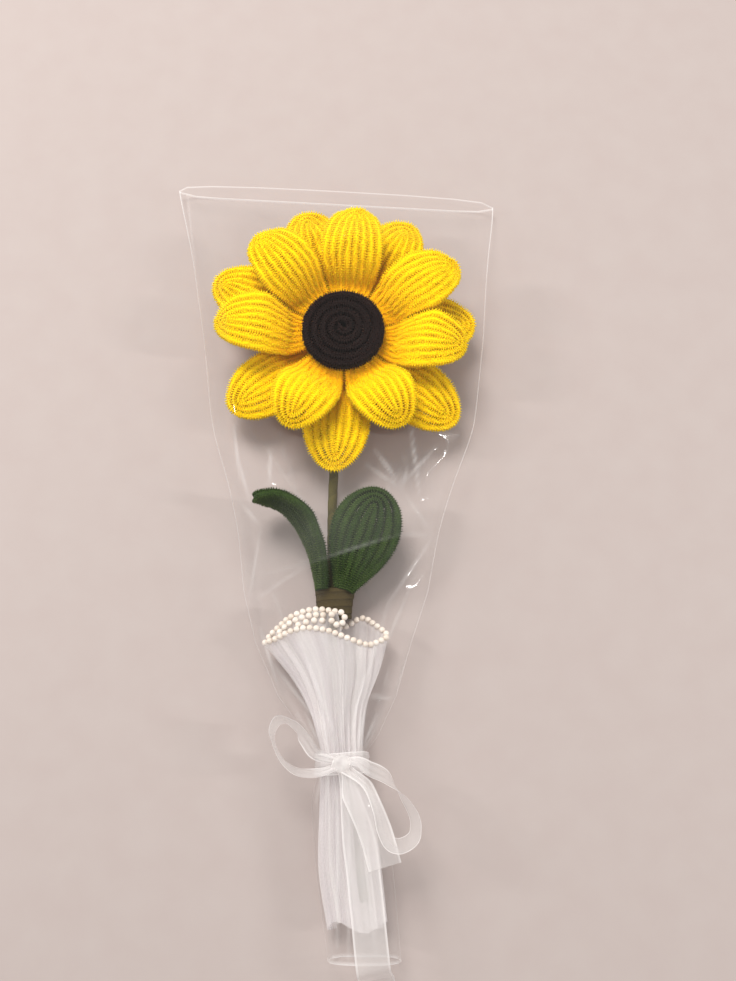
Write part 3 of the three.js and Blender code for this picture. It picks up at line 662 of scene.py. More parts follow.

# %% [markdown]
# ## Leaves
# The leaves are wound like the petals, from green stems, so the petals' functions make them too, with other
# sizes. The right one shows its face; the left one stands on its edge and bends away, so only its rim
# strands show. Their pile is shorter, and paler along each crest, a painted highlight.

# %% Two leaves
GREEN = chenille_finish(
    "green chenille", 0.04, (0.05, 0.6, 0.95),
    [(26, 44, 12), (30, 51, 14), (36, 60, 16)], [(58, 78, 30), (72, 92, 38), (92, 110, 50)],
)
LEAF_PILE = 0.9
LEAF_FULL = 0.51
STEM_X = -5
TAPE_TOP_Y = -130
TAPE_Z = 10
STEM_RADIUS = 2.3
beside = STEM_RADIUS + STRAND_HEIGHT / 2 + 2 * CLEARANCE
LEAVES = {
    "leaf_right": {
        "length": 53, "width": 33, "slopes": (8, 12, -8), "turn": 70, "roll": 0, "root": (6, 0.4, beside),
    },
    "leaf_left": {
        "length": 62, "width": 26, "slopes": (0, 24, 92), "turn": 94, "roll": -75,
        "root": (-beside + CLEARANCE, 0.4, 5.5),
    },
}
for number, (node, leaf) in enumerate(LEAVES.items()):
    leaf_rng = np.random.default_rng(400 + number)
    leaf_bends = [(share * leaf["length"], slope) for share, slope in zip((0, 0.5, 1), leaf["slopes"])]
    leaf_strands = loop_strands(leaf["width"], leaf_bends, 0, None, leaf_rng, LEAF_PILE, LEAF_FULL)
    leaf_root = np.array([STEM_X, TAPE_TOP_Y, TAPE_Z]) + np.array(leaf["root"])
    leaf_strands = placed(leaf_strands, leaf["turn"], leaf["roll"], leaf_root)
    chenille_piece(f"{node}_pile", leaf_strands, GREEN, [node])

# %% [markdown]
# ## Stem and floral tape
# Crepe floral tape is wound round the wire in a slanting spiral, each turn overlapping the last. Stripes on
# a plain tube would look painted, and a wound strip would need many faces. A tube whose radius has a small
# saw-tooth step along a helix shows the overlaps, and a bump adds the fine crepe ribs across the tape.

# %% Wound tape
STEM_WINDING = {"turns": 30, "slant": 1, "step": 0.09, "columns": 20}
HEAD_WINDING = {"turns": 4, "slant": 1, "step": 0.06, "columns": 48}
LEAF_WINDING = {"turns": 4, "slant": 1.6, "step": 0.045, "columns": 72}
CLOSED_END = 0.02
CREPE_DEPTH = 0.0002


def tape_finish(name, dark, light, winding):
    """Colour and crepe ribs by the place along the winding: along times turns, plus slant times around."""
    finish = Finish(name)
    across, along = finish.across_along()
    turns = winding["turns"]
    lap = (along * turns + across * winding["slant"]).past_whole()
    fibres = finish.noise(across * 14, along * (turns * 16), 3.0)
    # Each turn is darker just under the edge of the next, a painted shade, and lighter up to its own edge; the
    # fibres noise is the crepe's own tone.
    shade = (0.25 + 0.45 * fibres + 0.3 * lap).clamped()
    ribs = finish.noise(across * 60, along * (turns * 5), 1.0)
    crepe = {"Height": ribs * 0.6 + fibres * 0.4, "Distance": CREPE_DEPTH, "Strength": 1.0}
    bump = finish.add("ShaderNodeBump", None, crepe)
    colour = finish.ramp(shade, (0.1, 0.85), (dark, light))
    return finish.shown(finish.solid(base_color=colour, roughness=0.75, normal=bump, specular_ior_level=0.3))


def wound_piece(name, path, wide, tall, winding, finish, replaced):
    """Rings round a path: radius times (1 + step times a saw-tooth of turns * along + slant * around). Both
    ends close with a ring drawn in to the middle."""
    path = np.concatenate([path[:1], path, path[-1:]])
    rows, columns = len(path), winding["columns"]
    tangent = unit(np.gradient(path[1:-1], axis=0))
    tangent = np.concatenate([tangent[:1], tangent, tangent[-1:]])
    side = unit(np.cross(tangent, np.array([0.0, 0.05, 1.0])))
    up = np.cross(side, tangent)
    angle = np.linspace(0, 2 * np.pi, columns, endpoint=False)
    along = np.linspace(0, 1, rows)[:, None]
    lap = np.mod(winding["turns"] * along + winding["slant"] * angle / (2 * np.pi), 1)
    swell = 1 + winding["step"] * (lap - 0.5)
    swell[[0, -1]] = CLOSED_END
    wide, tall = np.broadcast_to(wide, rows)[:, None], np.broadcast_to(tall, rows)[:, None]
    ring = (wide * swell * np.cos(angle))[..., None] * side[:, None]
    points = path[:, None] + ring + (tall * swell * np.sin(angle))[..., None] * up[:, None]
    quads, places = grid_faces(rows, columns, closed=True)
    return make_piece(name, points.reshape(-1, 3), [quads], places, finish, replaced)


STEM_TAPE = tape_finish("stem tape", (54, 50, 26), (98, 90, 50), STEM_WINDING)
LEAF_TAPE = tape_finish("leaf tape", (40, 32, 17), (78, 66, 38), LEAF_WINDING)
print("wound tape ready")

# %% Stem
NECK = np.array([0.5, -210.0, 12.9])
STEM_FOOT = [11, -270, 10.2]
STRAIGHT_LENGTH = 12
LOW_Y = -75
STEM_STEP = 0.6
bend_angle = np.linspace(0, np.pi / 2, 5)
bend_y, bend_z = STEM_BEND * (np.sin(bend_angle) - 1), HEAD_STEM_Z + STEM_BEND * (1 - np.cos(bend_angle))
stem_knots = np.vstack([
    STEM_FOOT, NECK, [STEM_X, TAPE_TOP_Y - STRAIGHT_LENGTH, TAPE_Z], [STEM_X, TAPE_TOP_Y, TAPE_Z],
    [STEM_X, LOW_Y, HEAD_STEM_Z], np.stack([np.zeros(5), bend_y, bend_z], 1),
])
stem_path = even_path(smooth_path(stem_knots, 400), STEM_STEP)
wound_piece(
    "stem_tape_winding", stem_path, STEM_RADIUS, STEM_RADIUS, STEM_WINDING, STEM_TAPE, ["stem"],
)

# %% Head binding
HUB_ROWS = 40
HUB_DRIFT = 1e-3
HUB_DRAWN_IN = 1.8
hub_run = np.linspace(0, 1, HUB_ROWS + 2)
hub_z = np.linspace(hub_bottom, disc_bottom - CLEARANCE, HUB_ROWS)
hub_path = np.stack([np.zeros(HUB_ROWS), HUB_DRIFT * hub_run[1:-1], hub_z], 1)
hub_radius = HUB_RADIUS - HUB_DRAWN_IN * (1 - smoothstep(hub_run, 0, 0.25))
wound_piece(
    "head_binding_winding", hub_path, hub_radius, hub_radius, HEAD_WINDING, STEM_TAPE,
    ["head_binding"],
)

# %% Leaf tape
TAPE_ROWS = 60
TAPE_LENGTH = 13.5
TAPE_HALF_WIDTH = 9
TAPE_HALF_HEIGHT = 6.6
tape_run = np.linspace(0, 1, TAPE_ROWS)
tape_x, tape_y = STEM_X + 1.6 - 0.6 * tape_run, TAPE_TOP_Y + 1.0 - TAPE_LENGTH * tape_run
tape_path = np.stack([tape_x, tape_y, np.full(TAPE_ROWS, float(TAPE_Z))], 1)
ring_run = np.linspace(0, 1, TAPE_ROWS + 2)
tape_full = 0.96 + 0.14 * (1 - ring_run) - 0.05 * np.sin(np.linspace(0, np.pi, TAPE_ROWS + 2))
wound_piece(
    "leaf_tape_winding", tape_path, TAPE_HALF_WIDTH * tape_full, TAPE_HALF_HEIGHT * tape_full, LEAF_WINDING,
    LEAF_TAPE, ["leaf_tape"],
)

# %% [markdown]
# ## Tulle
# A strip of white net is gathered round the stem at the neck. A cloth simulation could gather it, but its
# pleats would fall anywhere. Cloth doesn't shrink, so what is a gentle ruffle at the rim becomes deep
# narrow pleats at the neck, and a formula can say that: a grid wound about one and a half times round the
# stem, on an oval whose size changes along the stem, with a pleat wave that gets deeper as the oval gets
# smaller.

# %% Gathered net
PLEATS = 27
TULLE_COLUMNS = PLEATS * 16
TULLE_ROWS = 90
FIRST_TURN = 78
LAST_TURN = 600
LAYER_STEP = 2.6
RUFFLE = 0.05
RUFFLES = 6
RIM_SHARE = 0.4
# A section is y, the oval's middle x and z, its half width and half height, and the depth of the pleats.
TULLE_SECTIONS = [
    (-149, -7, 12.6, 29, 10.2, 0.55), (-165.5, -2.7, 12.7, 21.4, 10, 0.8),
    (-183, -1.5, 12.8, 14.2, 9.8, 1.25), (-198, -0.2, 12.9, 11, 9.8, 1.9), (-205, 0.5, 12.9, 10, 10, 2.3),
    (-215, 0.5, 12.9, 10, 10, 2.3), (-231, 2.6, 12.2, 12.6, 9.5, 1.6), (-256, 4.4, 11.2, 14.6, 8.7, 1.25),
    (-280, 7.8, 10.2, 13.8, 8, 1.1),
]
# The rim's y at turns in degrees.
RIM_HEIGHTS = [
    (78, -141.5), (104, -140.5), (130, -144), (150, -147), (180, -153), (225, -150), (268, -147.5),
    (287, -147), (304, -143), (330, -146), (360, -152), (407, -157), (450, -150.5), (470, -149.5),
    (500, -152.5), (540, -155.5), (600, -152),
]


def rim_line(turn):
    """The rim's place along the stem by the turn in degrees. The net winds about one and a half times, so the
    inner turn's rim shows above the outer one on the left; the front dips on the right."""
    knots = smooth_path(RIM_HEIGHTS, 600)
    return np.interp(turn, knots[:, 0], knots[:, 1])


tulle_v = np.linspace(0, 1, TULLE_ROWS)[:, None]
tulle_u = np.linspace(0, 1, TULLE_COLUMNS)[None, :]
tulle_degrees = FIRST_TURN + (LAST_TURN - FIRST_TURN) * tulle_u
tulle_turn = np.radians(tulle_degrees)
tulle_line = smooth_path(TULLE_SECTIONS, TULLE_ROWS)
tulle_y, tulle_x, tulle_z, tulle_w, tulle_h, tulle_deep = (column[:, None] for column in tulle_line.T)
pleat_phase = 2 * np.pi * PLEATS * tulle_u + 0.9 * np.sin(2 * np.pi * 3 * tulle_u + 1.0)
pleat_phase = pleat_phase + 0.25 * np.sin(9 * tulle_v)
pleat_size = 0.75 + 0.25 * np.sin(2 * np.pi * 5 * tulle_u + 0.4)
pleat_size = pleat_size + 0.15 * np.sin(2 * np.pi * 11 * tulle_u + 2.2)
pleat = tulle_deep * pleat_size * (np.sin(pleat_phase) - 1 + 0.25 * np.sin(2 * pleat_phase))
fine = 0.12 * tulle_deep * np.sin(2 * pleat_phase + 4 * np.pi * 3 * tulle_u)
inwards = pleat + fine - LAYER_STEP * (1 - tulle_u) * (1 - 0.7 * smoothstep(tulle_v, 0.1, RIM_SHARE))
near_rim = 1 - smoothstep(tulle_v, 0, RIM_SHARE)
ruffle = RUFFLE * np.cos(RUFFLES * tulle_turn) * near_rim
rim_wave = (rim_line(tulle_degrees) - TULLE_SECTIONS[0][0]) * near_rim
hem_wave = 2.2 * np.sin(3 * tulle_turn + 0.8) * smoothstep(tulle_v, 0.75, 1)
net_x = tulle_x + (tulle_w * (1 + ruffle) + inwards) * np.cos(tulle_turn)
net_z = tulle_z + (tulle_h * (1 + ruffle) + inwards * 0.9) * np.sin(tulle_turn)
net = np.stack([net_x, tulle_y + rim_wave + hem_wave, net_z], -1)
print("net grid", net.shape)

# %% [markdown]
# ## Tulle finish
# Tulle is a net of fine threads with more air than thread. Modelled threads would be millions of faces, so
# the sheet blends between clear and cloth by its cover: a fine noise for the holes, a slow one for the
# folds, and more where the net is gathered. Some light passes through the threads, so a fold's far side
# isn't dark.

# %% Net finish
NECK_SHARE = 0.43
TULLE = Finish("tulle")
across, along = TULLE.across_along()
fold = TULLE.noise(across * 44, along * 1.2, 2.0)
mesh_holes = TULLE.noise(across * 420, along * 260, 1.0)
gather = 1 - ((along - NECK_SHARE).math("ABSOLUTE") * 5).clamped()
cover = (0.34 + 0.3 * fold + 0.14 * mesh_holes + 0.1 * gather).clamped()
# The net is a little greyer where the fold noise is low, a painted shade in the hollows between folds.
net_colour = TULLE.ramp(fold, (0.3, 0.7), [(240, 235, 237), (253, 250, 249)])
net_finish = TULLE.sheer(cover, 0.45, net_colour, roughness=0.85, specular_ior_level=0.2)
quads, places = grid_faces(TULLE_ROWS, TULLE_COLUMNS)
tulle = make_piece("tulle_net", net.reshape(-1, 3), [quads], places, net_finish, ["tulle_wrap"])

# %% [markdown]
# ## Pearl trim
# Small pearly beads on a thread edge the net, with a curl at its corner and two short rows below the rim. A
# sphere for each bead would do for a few, but there are dozens, so one bead is worked out once as a grid of
# latitudes and longitudes and copied along the rows by adding arrays.

# %% Beads along the rim
BEAD_RADIUS = 1.55
BEAD_PITCH = 3.05
BEAD_ROWS = 9
BEAD_COLUMNS = 12
BEAD_POLE = 0.02
BEAD_ABOVE = 0.8
BEAD_INSIDE = 0.6
BEAD_PROUD = 0.9
NET_TAPER = 0.45
CURL_RADIUS = 3.2
CURL_ANGLE = 5.2
CURL_RISE = 0.2


def rim_row(first, last, below, proud):
    """A row of beads between two turns of the net: the rim's oval, less the depth of the layer and the net's
    taper below the rim. A row below the rim stands proud of the net that it is sewn to."""
    _, middle_x, middle_z, half_width, half_height, _ = TULLE_SECTIONS[0]
    degrees = np.linspace(first, last, 500)
    turn = np.radians(degrees)
    full = 1 + RUFFLE * np.cos(RUFFLES * turn)
    inside = BEAD_INSIDE - proud + LAYER_STEP * (LAST_TURN - degrees) / (LAST_TURN - FIRST_TURN)
    x = middle_x + (half_width * full - inside - NET_TAPER * below) * np.cos(turn)
    z = middle_z + (half_height * full - inside) * np.sin(turn)
    return np.stack([x, rim_line(degrees) + BEAD_ABOVE - below, z], 1)


rim_path = rim_row(FIRST_TURN, LAST_TURN, 0, 0)
curl_turn = np.linspace(np.pi / 2 - CURL_ANGLE, np.pi / 2, 40)[:, None]
curl_shape = np.hstack([np.cos(curl_turn), np.sin(curl_turn), CURL_RISE * (np.pi / 2 - curl_turn)])
curl = rim_path[0] - np.array([0, CURL_RADIUS, 0]) + CURL_RADIUS * curl_shape
bead_rows = [
    np.vstack([curl, rim_path]), rim_row(94, 155, 2.7, BEAD_PROUD), rim_row(95, 121, 5.3, BEAD_PROUD),
]
bead_centres = np.concatenate([even_path(row, BEAD_PITCH) for row in bead_rows])
polar = np.linspace(BEAD_POLE, np.pi - BEAD_POLE, BEAD_ROWS)[:, None]
around = np.linspace(0, 2 * np.pi, BEAD_COLUMNS, endpoint=False)[None, :]
ball = BEAD_RADIUS * np.stack([
    np.sin(polar) * np.cos(around), np.sin(polar) * np.sin(around), np.cos(polar) + 0 * around,
], -1).reshape(-1, 3)
bead_count = len(bead_centres)
bead_points = (bead_centres[:, None] + ball).reshape(-1, 3)
bead_quads, bead_places = grid_faces(BEAD_ROWS, BEAD_COLUMNS, closed=True)
bead_faces = (bead_quads + len(ball) * np.arange(bead_count)[:, None, None]).reshape(-1, 4)
bead_tint = np.random.default_rng(600).uniform(0, 1, bead_count)
bead_uv = np.tile(bead_places.reshape(-1, 2), (bead_count, 1)) * np.array([0.02, 1])
bead_uv[:, 0] += np.repeat(bead_tint, bead_places.shape[0] * 4) * 0.97
print("beads", bead_count)

# %% [markdown]
# ## Pearl finish
# Moulded pearls are smooth under a clear coat, and no two are the same white. A colour for each bead could
# be a material of its own, but one random number kept in the UV map of each bead is enough.

# %% Pearl finish
PEARL = Finish("pearl")
pearl_colour = PEARL.mix(PEARL.across_along()[0], rgb(228, 214, 200), rgb(240, 230, 220))
pearl_finish = PEARL.shown(PEARL.solid(
    base_color=pearl_colour, roughness=0.28, coat_weight=0.5, coat_roughness=0.1, specular_ior_level=0.6,
))
pearls = make_piece("pearl_string", bead_points, [bead_faces], bead_uv, pearl_finish, ["pearl_trim"])

# %% [markdown]
# ## Ribbon bow
# A sheer ribbon with woven edges is tied round the neck. A simulated knot is slow and seldom ends as a neat
# bow, so each run of the ribbon is a band: a path, and at each point of the path a direction for the
# ribbon's width. At the knot the band is gathered narrow. All runs go into one mesh.

# %% Ribbon bands
RIBBON_WIDTH = 15
GATHERED_WIDTH = 5
GATHER_SHARE = 0.3
GATHER_DEPTH = 0.9
RIBBON_COLUMNS = 13
KNOT = np.array([0.5, -210.0, 27.6])


def ribbon_run(points, rows, wave, widths=None):
    """Band along a smooth path: path + across * width * (-1/2 to 1/2), where across is the width's direction
    less its part along the path. A small wave along and across the band keeps it from looking ironed. A loop
    has its directions given and is gathered at both ends; a tail lies flat and is gathered at its start."""
    path = smooth_path(points, rows)
    loop = widths is not None
    flat = [(1.0, 0.2 + 0.001 * k, 0.0) for k in range(len(points))]
    facing = smooth_path(widths if loop else flat, rows)
    tangent = unit(np.gradient(path, axis=0))
    across = unit(facing - (facing * tangent).sum(1, keepdims=True) * tangent)
    normal = np.cross(tangent, across)
    share = np.linspace(0, 1, rows)
    opened = smoothstep(np.minimum(share, 1 - share) if loop else share, 0, GATHER_SHARE)
    width = GATHERED_WIDTH + (RIBBON_WIDTH - GATHERED_WIDTH) * opened
    over = np.linspace(-0.5, 0.5, RIBBON_COLUMNS)
    pinch = (1 - opened)[:, None] * GATHER_DEPTH * np.cos(over * 5 * np.pi)
    ripple = wave * np.sin(share * 17)[:, None] * (0.4 + over) + pinch
    band = path[:, None] + (width[:, None] * over)[..., None] * across[:, None]
    return band + ripple[..., None] * normal[:, None]


def from_knot(rows):
    """Points whose y and height are given from the knot."""
    return [(x, KNOT[1] + y, KNOT[2] + rise) for x, y, rise, *_ in rows]


def leaning(rows, hand):
    """Width directions of a loop that stands on its edge: straight up, plus its lean times the direction out
    of the loop, which is the path's direction turned by a right angle."""
    table = np.array(rows, float)
    forward = unit(np.gradient(table[:, :2], axis=0))
    outwards = hand * np.column_stack([forward[:, 1], -forward[:, 0]]) * table[:, 3:]
    return np.column_stack([outwards, np.ones(len(table))])


print("ribbon bands ready")

# %% Loops, tails, wrap and knot
FOOT_Y = -295
WRAP_RADIUS = 12.5
WRAP_HALF_WIDTH = 4.8
# A point of a loop is x, y and height from the knot, and the lean of the band there.
LEFT_LOOP = [
    (-1, 1, 0, 1.2), (-11, 4, 2, 1.0), (-16, 10.6, 2, 0.6), (-20.4, 16.1, 0, 0.3), (-26.2, 18.4, -3, 0.3),
    (-30, 15.6, -5, 0.1), (-30.8, 10.1, -6, 0.02), (-27.1, 2.1, -5, 0.08), (-21.1, -2.4, -3, 0.16),
    (-14.4, -3.9, -1, 0.3), (-7.2, -3.2, 0, 0.5), (-1, -1, 0, 0.8),
]
RIGHT_LOOP = [
    (1, 1, 0, -0.6), (8.2, 1.1, 1, -0.8), (13.3, -1.9, 2, -0.8), (20, -5.4, 2, -0.5), (24.6, -10.1, 1, -0.1),
    (29.1, -15.7, 0, 0.2), (32.9, -22, -1, 0.32), (33.8, -27.3, -2, 0.34), (32.5, -31.7, -2, 0.34),
    (26.9, -34.8, -2, 0.36), (22.4, -33.5, -1, 0.42), (18.9, -27.3, 0, 0.55), (16.4, -19.1, 1, 0.6),
    (11.3, -8.8, 1, 0.7), (1, -2, 0, 0.8),
]
SHORT_TAIL = [(2, -1, 0), (9, -14, 1.2), (16, -30, -0.4), (20, -44, -2.2)]
LONG_TAIL = [(1, -1, 0), (5, -16, -0.6), (9, -36, -2.2), (12, -60, -3.6)]
TAIL_OVER_FOOT = [(15, 2, -5), (16, 6, -14), (17, 9, -24.6), (18, 16, -27.2)]
past_foot = [(x, FOOT_Y - beyond, KNOT[2] + rise) for x, beyond, rise in TAIL_OVER_FOOT]
wrap_angle = np.linspace(0, 2 * np.pi, 61)[:, None]
wrap_over = np.linspace(-WRAP_HALF_WIDTH, WRAP_HALF_WIDTH, RIBBON_COLUMNS)[None, :]
wrap_radius = WRAP_RADIUS + 0.22 * np.sin(wrap_over * 1.7 + 2 * np.sin(wrap_angle))
wrap = np.stack([
    NECK[0] + wrap_radius * np.cos(wrap_angle), NECK[1] - wrap_over + 0.6 * np.sin(2 * wrap_angle),
    NECK[2] + wrap_radius * np.sin(wrap_angle),
], -1)
knot_angle = np.linspace(0, 2 * np.pi, 41)[:, None]
knot_over = np.linspace(-1, 1, RIBBON_COLUMNS)[None, :]
knot_swell = np.sqrt(np.maximum(1 - 0.75 * knot_over**2, 0))
knot_swell = knot_swell * (1 + 0.09 * np.sin(3 * knot_angle + 4 * knot_over))
knot = np.stack([
    KNOT[0] + 3.9 * knot_over + 0.7 * np.cos(knot_angle),
    KNOT[1] + 4.1 * knot_swell * np.cos(knot_angle) - 0.9 * knot_over,
    KNOT[2] + 2.9 * knot_swell * np.sin(knot_angle),
], -1)
runs = [
    wrap, knot,
    ribbon_run(from_knot(LEFT_LOOP), 90, 0.5, leaning(LEFT_LOOP, 1)),
    ribbon_run(from_knot(RIGHT_LOOP), 110, 0.5, leaning(RIGHT_LOOP, -1)),
    ribbon_run(from_knot(SHORT_TAIL), 50, 0.5),
    ribbon_run(from_knot(LONG_TAIL) + past_foot, 110, 0.4),
]
ribbon_length = sum(path_run(run[:, RIBBON_COLUMNS // 2])[-1] for run in runs) * MM
print("ribbon length", round(ribbon_length, 3), "m")

# %% [markdown]
# ## Ribbon finish
# The ribbon is thin woven cloth, denser along both edges. An edge could be a mesh of its own, but the UV
# map already holds the place across each band, so the same sheer finish gets more cover near the edges.

# %% Ribbon finish
RIBBON = Finish("ribbon")
across, along = RIBBON.across_along()
selvedge = ((across * len(runs)).past_whole().from_middle() * 12 - 10.2).clamped()
weave = RIBBON.noise(across * 700, along * 500, 1.0)
cover = (0.32 + 0.16 * weave + 0.4 * selvedge).clamped()
ribbon_finish = RIBBON.sheer(cover, 0.4, rgb(250, 247, 246), roughness=0.55, sheen_weight=0.2)
run_points = [run.reshape(-1, 3) for run in runs]
run_quads, run_places = zip(*(grid_faces(run.shape[0], RIBBON_COLUMNS) for run in runs))
lanes = [(places + np.array([k, 0])) / np.array([len(runs), 1]) for k, places in enumerate(run_places)]
ribbon = make_piece(
    "ribbon_bow_band", np.concatenate(run_points), [stacked(run_quads, run_points)], np.concatenate(lanes),
    ribbon_finish, ["ribbon_bow"],
)

# %% [markdown]
# ## Clear film sleeve
# Two stiff clear films are welded along both sides into a bag that is wide at the mouth and gathered at the
# neck. Clear film shows only by its creases, its edges and what it mirrors, so its shape matters most. A
# simulated sheet would crumple anywhere, so each panel is a loft through ovals, met only along a few lines
# that run from the mouth to the foot, and flat between them.

# %% Film outline
# A section is y, the middle x, the half width, the heights of base, welds and top, and the oval's power.
FILM_SECTIONS = [
    (84, -5, 86, 0, 4, 8.5, 3), (70, -4, 83, 0, 7, 32, 2.8), (42, -2, 77.4, 0, 10, 42, 3),
    (0, 0, 72, 0, 12, 42, 3.4), (-48, 0, 66, 0, 12, 42, 3.2), (-77, -1, 55.5, 0, 12, 39, 2.8),
    (-101, -2, 49, 0, 12, 37, 2.6), (-130, -3, 44.6, 0, 12, 33, 2.6), (-155, -4, 37, 0, 12, 29.2, 2.6),
    (-179.5, -2, 27.8, 0, 12, 28.2, 2.6), (-198, 0.5, 16.5, 0.2, 12.9, 25.6, 2.2),
    (-204.9, 0.5, 11.3, 1.7, 12.9, 24.1, 2), (-215.1, 0.5, 11.3, 1.7, 12.9, 24.1, 2),
    (-227, 2, 15.4, 0.2, 12.9, 25.6, 2.2), (-252.5, 6, 17.5, 0, 11, 22.5, 2.4),
    (-295, 11, 16.3, 0, 9, 19.4, 2.2),
]
FILM_ROWS = 300
SOFT_ROWS = 31
SOFT_FROM = (-150, -90)
FACET_COLUMNS = 12
MOUTH_SLANT = 0.06
MOUTH_RISE = 1.5
SLANT_FROM = (20, 84)
film_knots = np.array(FILM_SECTIONS, float)[::-1]
film_y = np.linspace(film_knots[-1, 0], film_knots[0, 0], FILM_ROWS)
film_line = {
    name: np.interp(film_y, film_knots[:, 0], film_knots[:, k + 1])[:, None]
    for k, name in enumerate(("x", "half", "base", "seam", "top", "power"))
}
window = np.hanning(SOFT_ROWS)
for name in ("half", "top", "power"):
    sharp = film_line[name][:, 0]
    soft = np.convolve(np.pad(sharp, SOFT_ROWS // 2 - 1, "edge"), window[1:-1] / window.sum(), "valid")
    film_line[name] = (sharp + (soft - sharp) * smoothstep(film_y, *SOFT_FROM))[:, None]


def film_panel(facets):
    """Places x, y and the rise, 0 at the welds to 1 in the middle, of a panel. A row is a superellipse,
    (1 - |f|^p) to the power 1 / p, met only at the facet lines and straight between them, so the film folds
    along lines that run from the mouth into the neck. The mouth is cut a little on the slant."""
    lines = np.array(facets, float)
    spans = len(lines) - 1
    columns = np.interp(np.linspace(0, spans, FACET_COLUMNS * spans + 1), np.arange(len(lines)), lines)
    power = film_line["power"]
    met = np.maximum(1 - np.abs(lines) ** power, 0) ** (1 / power)
    rise = np.stack([np.interp(columns, lines, row) for row in met])
    x = film_line["x"] + film_line["half"] * columns
    slanted = smoothstep(film_y, *SLANT_FROM)[:, None]
    return x, film_y[:, None] + (MOUTH_RISE - MOUTH_SLANT * x) * slanted, rise


print("film outline", film_y.shape)

# %% [markdown]
# ## Creases
# Stiff film keeps its folds as straight lines, sharp and slightly white. Sculpting them would take long and
# can't be repeated, so each fold is a straight ridge between two places, pressed into the sleeve, and the
# points close to it are marked as white for the finish.

# %% Creases
SHARP_FOLD = 4
WHITE_WIDTH = 1.3
# A crease is x, y of both its ends, its height and its half width.
FRONT_CREASES = [
    (-44, -138, -13, -119, 2.0, 9), (-13, -119, 27, -106, 2.2, 9), (27, -106, 44, -105, 1.6, 7),
    (-44, -138, -38, -102, 1.6, 6), (-38, -102, -49, -89, 1.4, 6), (44, -105, 28, -85, 1.8, 7),
    (44, -105, 22, -138, 1.4, 6), (-51, -65, -44, -89, 1.4, 5), (-34, -66, -34, -82, 1.2, 4),
    (28, -85, 12, -74, 1.2, 5), (28, -85, 31, -74, 1.2, 4), (45, -64, 29, -82, 1.4, 5),
    (16, -67, 27, -82, 1.2, 4), (33, -56, 37, -88, 1.2, 4), (-52, -53, -49, -78, 1.2, 4),
    (12, -180, 25, -181, 1.4, 4), (32, -159, 24, -181, 1.0, 4), (-38, -149, -30, -173, 1.0, 4),
    (0, -204, -19, -155, 1.2, 4), (0, -204, 3, -162, 1.0, 5), (2, -204, 22, -138, 1.2, 5),
    (0, -204, -33, -164, 1.2, 5), (4, -222, 4, -292, 1.0, 4), (7, -222, 16, -290, 1.0, 4),
    (-1, -222, -1, -288, 1.0, 4), (-88, 82, -80, 24, 0.3, 3), (-84, 84, -77, 40, 0.3, 3),
    (9, -205, 17, -188, 1.0, 3), (6, -206, 12, -184, 1.0, 3), (-8, -205, -16, -188, 1.0, 3),
    (-5, -206, -9, -184, 1.0, 3),
]
BACK_CREASES = [
    (-60, 40, -20, -90, 0.8, 9), (40, 60, 30, -60, 0.8, 9), (-40, -120, 30, -100, 0.8, 8),
    (-10, -190, -34, -130, 0.6, 6), (6, -190, 36, -120, 0.6, 6), (-50, -40, 20, -140, 0.7, 8),
    (50, -30, -20, -150, 0.7, 8),
]


def creased(x, y, creases):
    """Height and whiteness of straight ridges. The height is high * (1 - distance to the line / width), and
    the film whitens close to a line, most at the line's middle, and a sharp fold more than a wide one."""
    height, white = np.zeros_like(x), np.zeros_like(x)
    for x0, y0, x1, y1, high, width in creases:
        dx, dy = x1 - x0, y1 - y0
        t = np.clip(((x - x0) * dx + (y - y0) * dy) / (dx * dx + dy * dy), 0, 1)
        gap = np.hypot(x - x0 - t * dx, y - y0 - t * dy)
        height = np.maximum(height, high * np.maximum(1 - gap / width, 0))
        sharp = min(SHARP_FOLD / width, 1)
        line = sharp * np.maximum(1 - gap / WHITE_WIDTH, 0) * (0.35 + 0.65 * np.sin(np.pi * t) ** 2)
        white = np.maximum(white, line)
    return height, white


print("creases", len(FRONT_CREASES), len(BACK_CREASES))

# %% Front and back panels
FRONT_FACETS = [-1, -0.94, -0.78, -0.5, -0.18, 0.12, 0.44, 0.74, 0.92, 1]
BACK_FACETS = [-1, -0.9, -0.62, -0.2, 0.26, 0.66, 0.91, 1]
PULLED_FOLDS = 3
LIT_FACET_VEIL = 0.08
FOLD_WHITE = 0.8
GATHER_REACH = 15
WELD_GAP = 0.9
FOLD_DEPTH = 0.8
front_x, front_y, front_rise = film_panel(FRONT_FACETS)
front_height, front_white_and_lit = creased(front_x, front_y, FRONT_CREASES)
# The facet above the pulled folds gets a faint white veil, a painted reflection of the light on that facet.
pulled = np.array([FRONT_CREASES[0][:2]] + [crease[2:4] for crease in FRONT_CREASES[:PULLED_FOLDS]], float)
above = front_y - np.interp(front_x, *pulled.T)
lit_facet = smoothstep(above, 0, 1.5) * (1 - smoothstep(above, 5, 50))
front_white_and_lit = np.maximum(FOLD_WHITE * front_white_and_lit, LIT_FACET_VEIL * lit_facet)
front_share = (front_x - film_line["x"]) / film_line["half"]
gathers = np.abs(np.sin(19 * front_share + 2 * np.sin(5 * front_share))) ** 6
near_neck = np.exp(-(((front_y - NECK[1]) / GATHER_REACH) ** 2))
front_white_and_lit = np.maximum(front_white_and_lit, FOLD_WHITE * gathers * near_neck)
front_inside = np.minimum(front_rise * 1.4, 1)
front_z = film_line["seam"] + WELD_GAP + (film_line["top"] - film_line["seam"] - WELD_GAP) * front_rise
front_z = front_z - FOLD_DEPTH * front_height * front_inside
back_x, back_y, back_rise = film_panel(BACK_FACETS)
back_height, back_white = creased(back_x, back_y, BACK_CREASES)
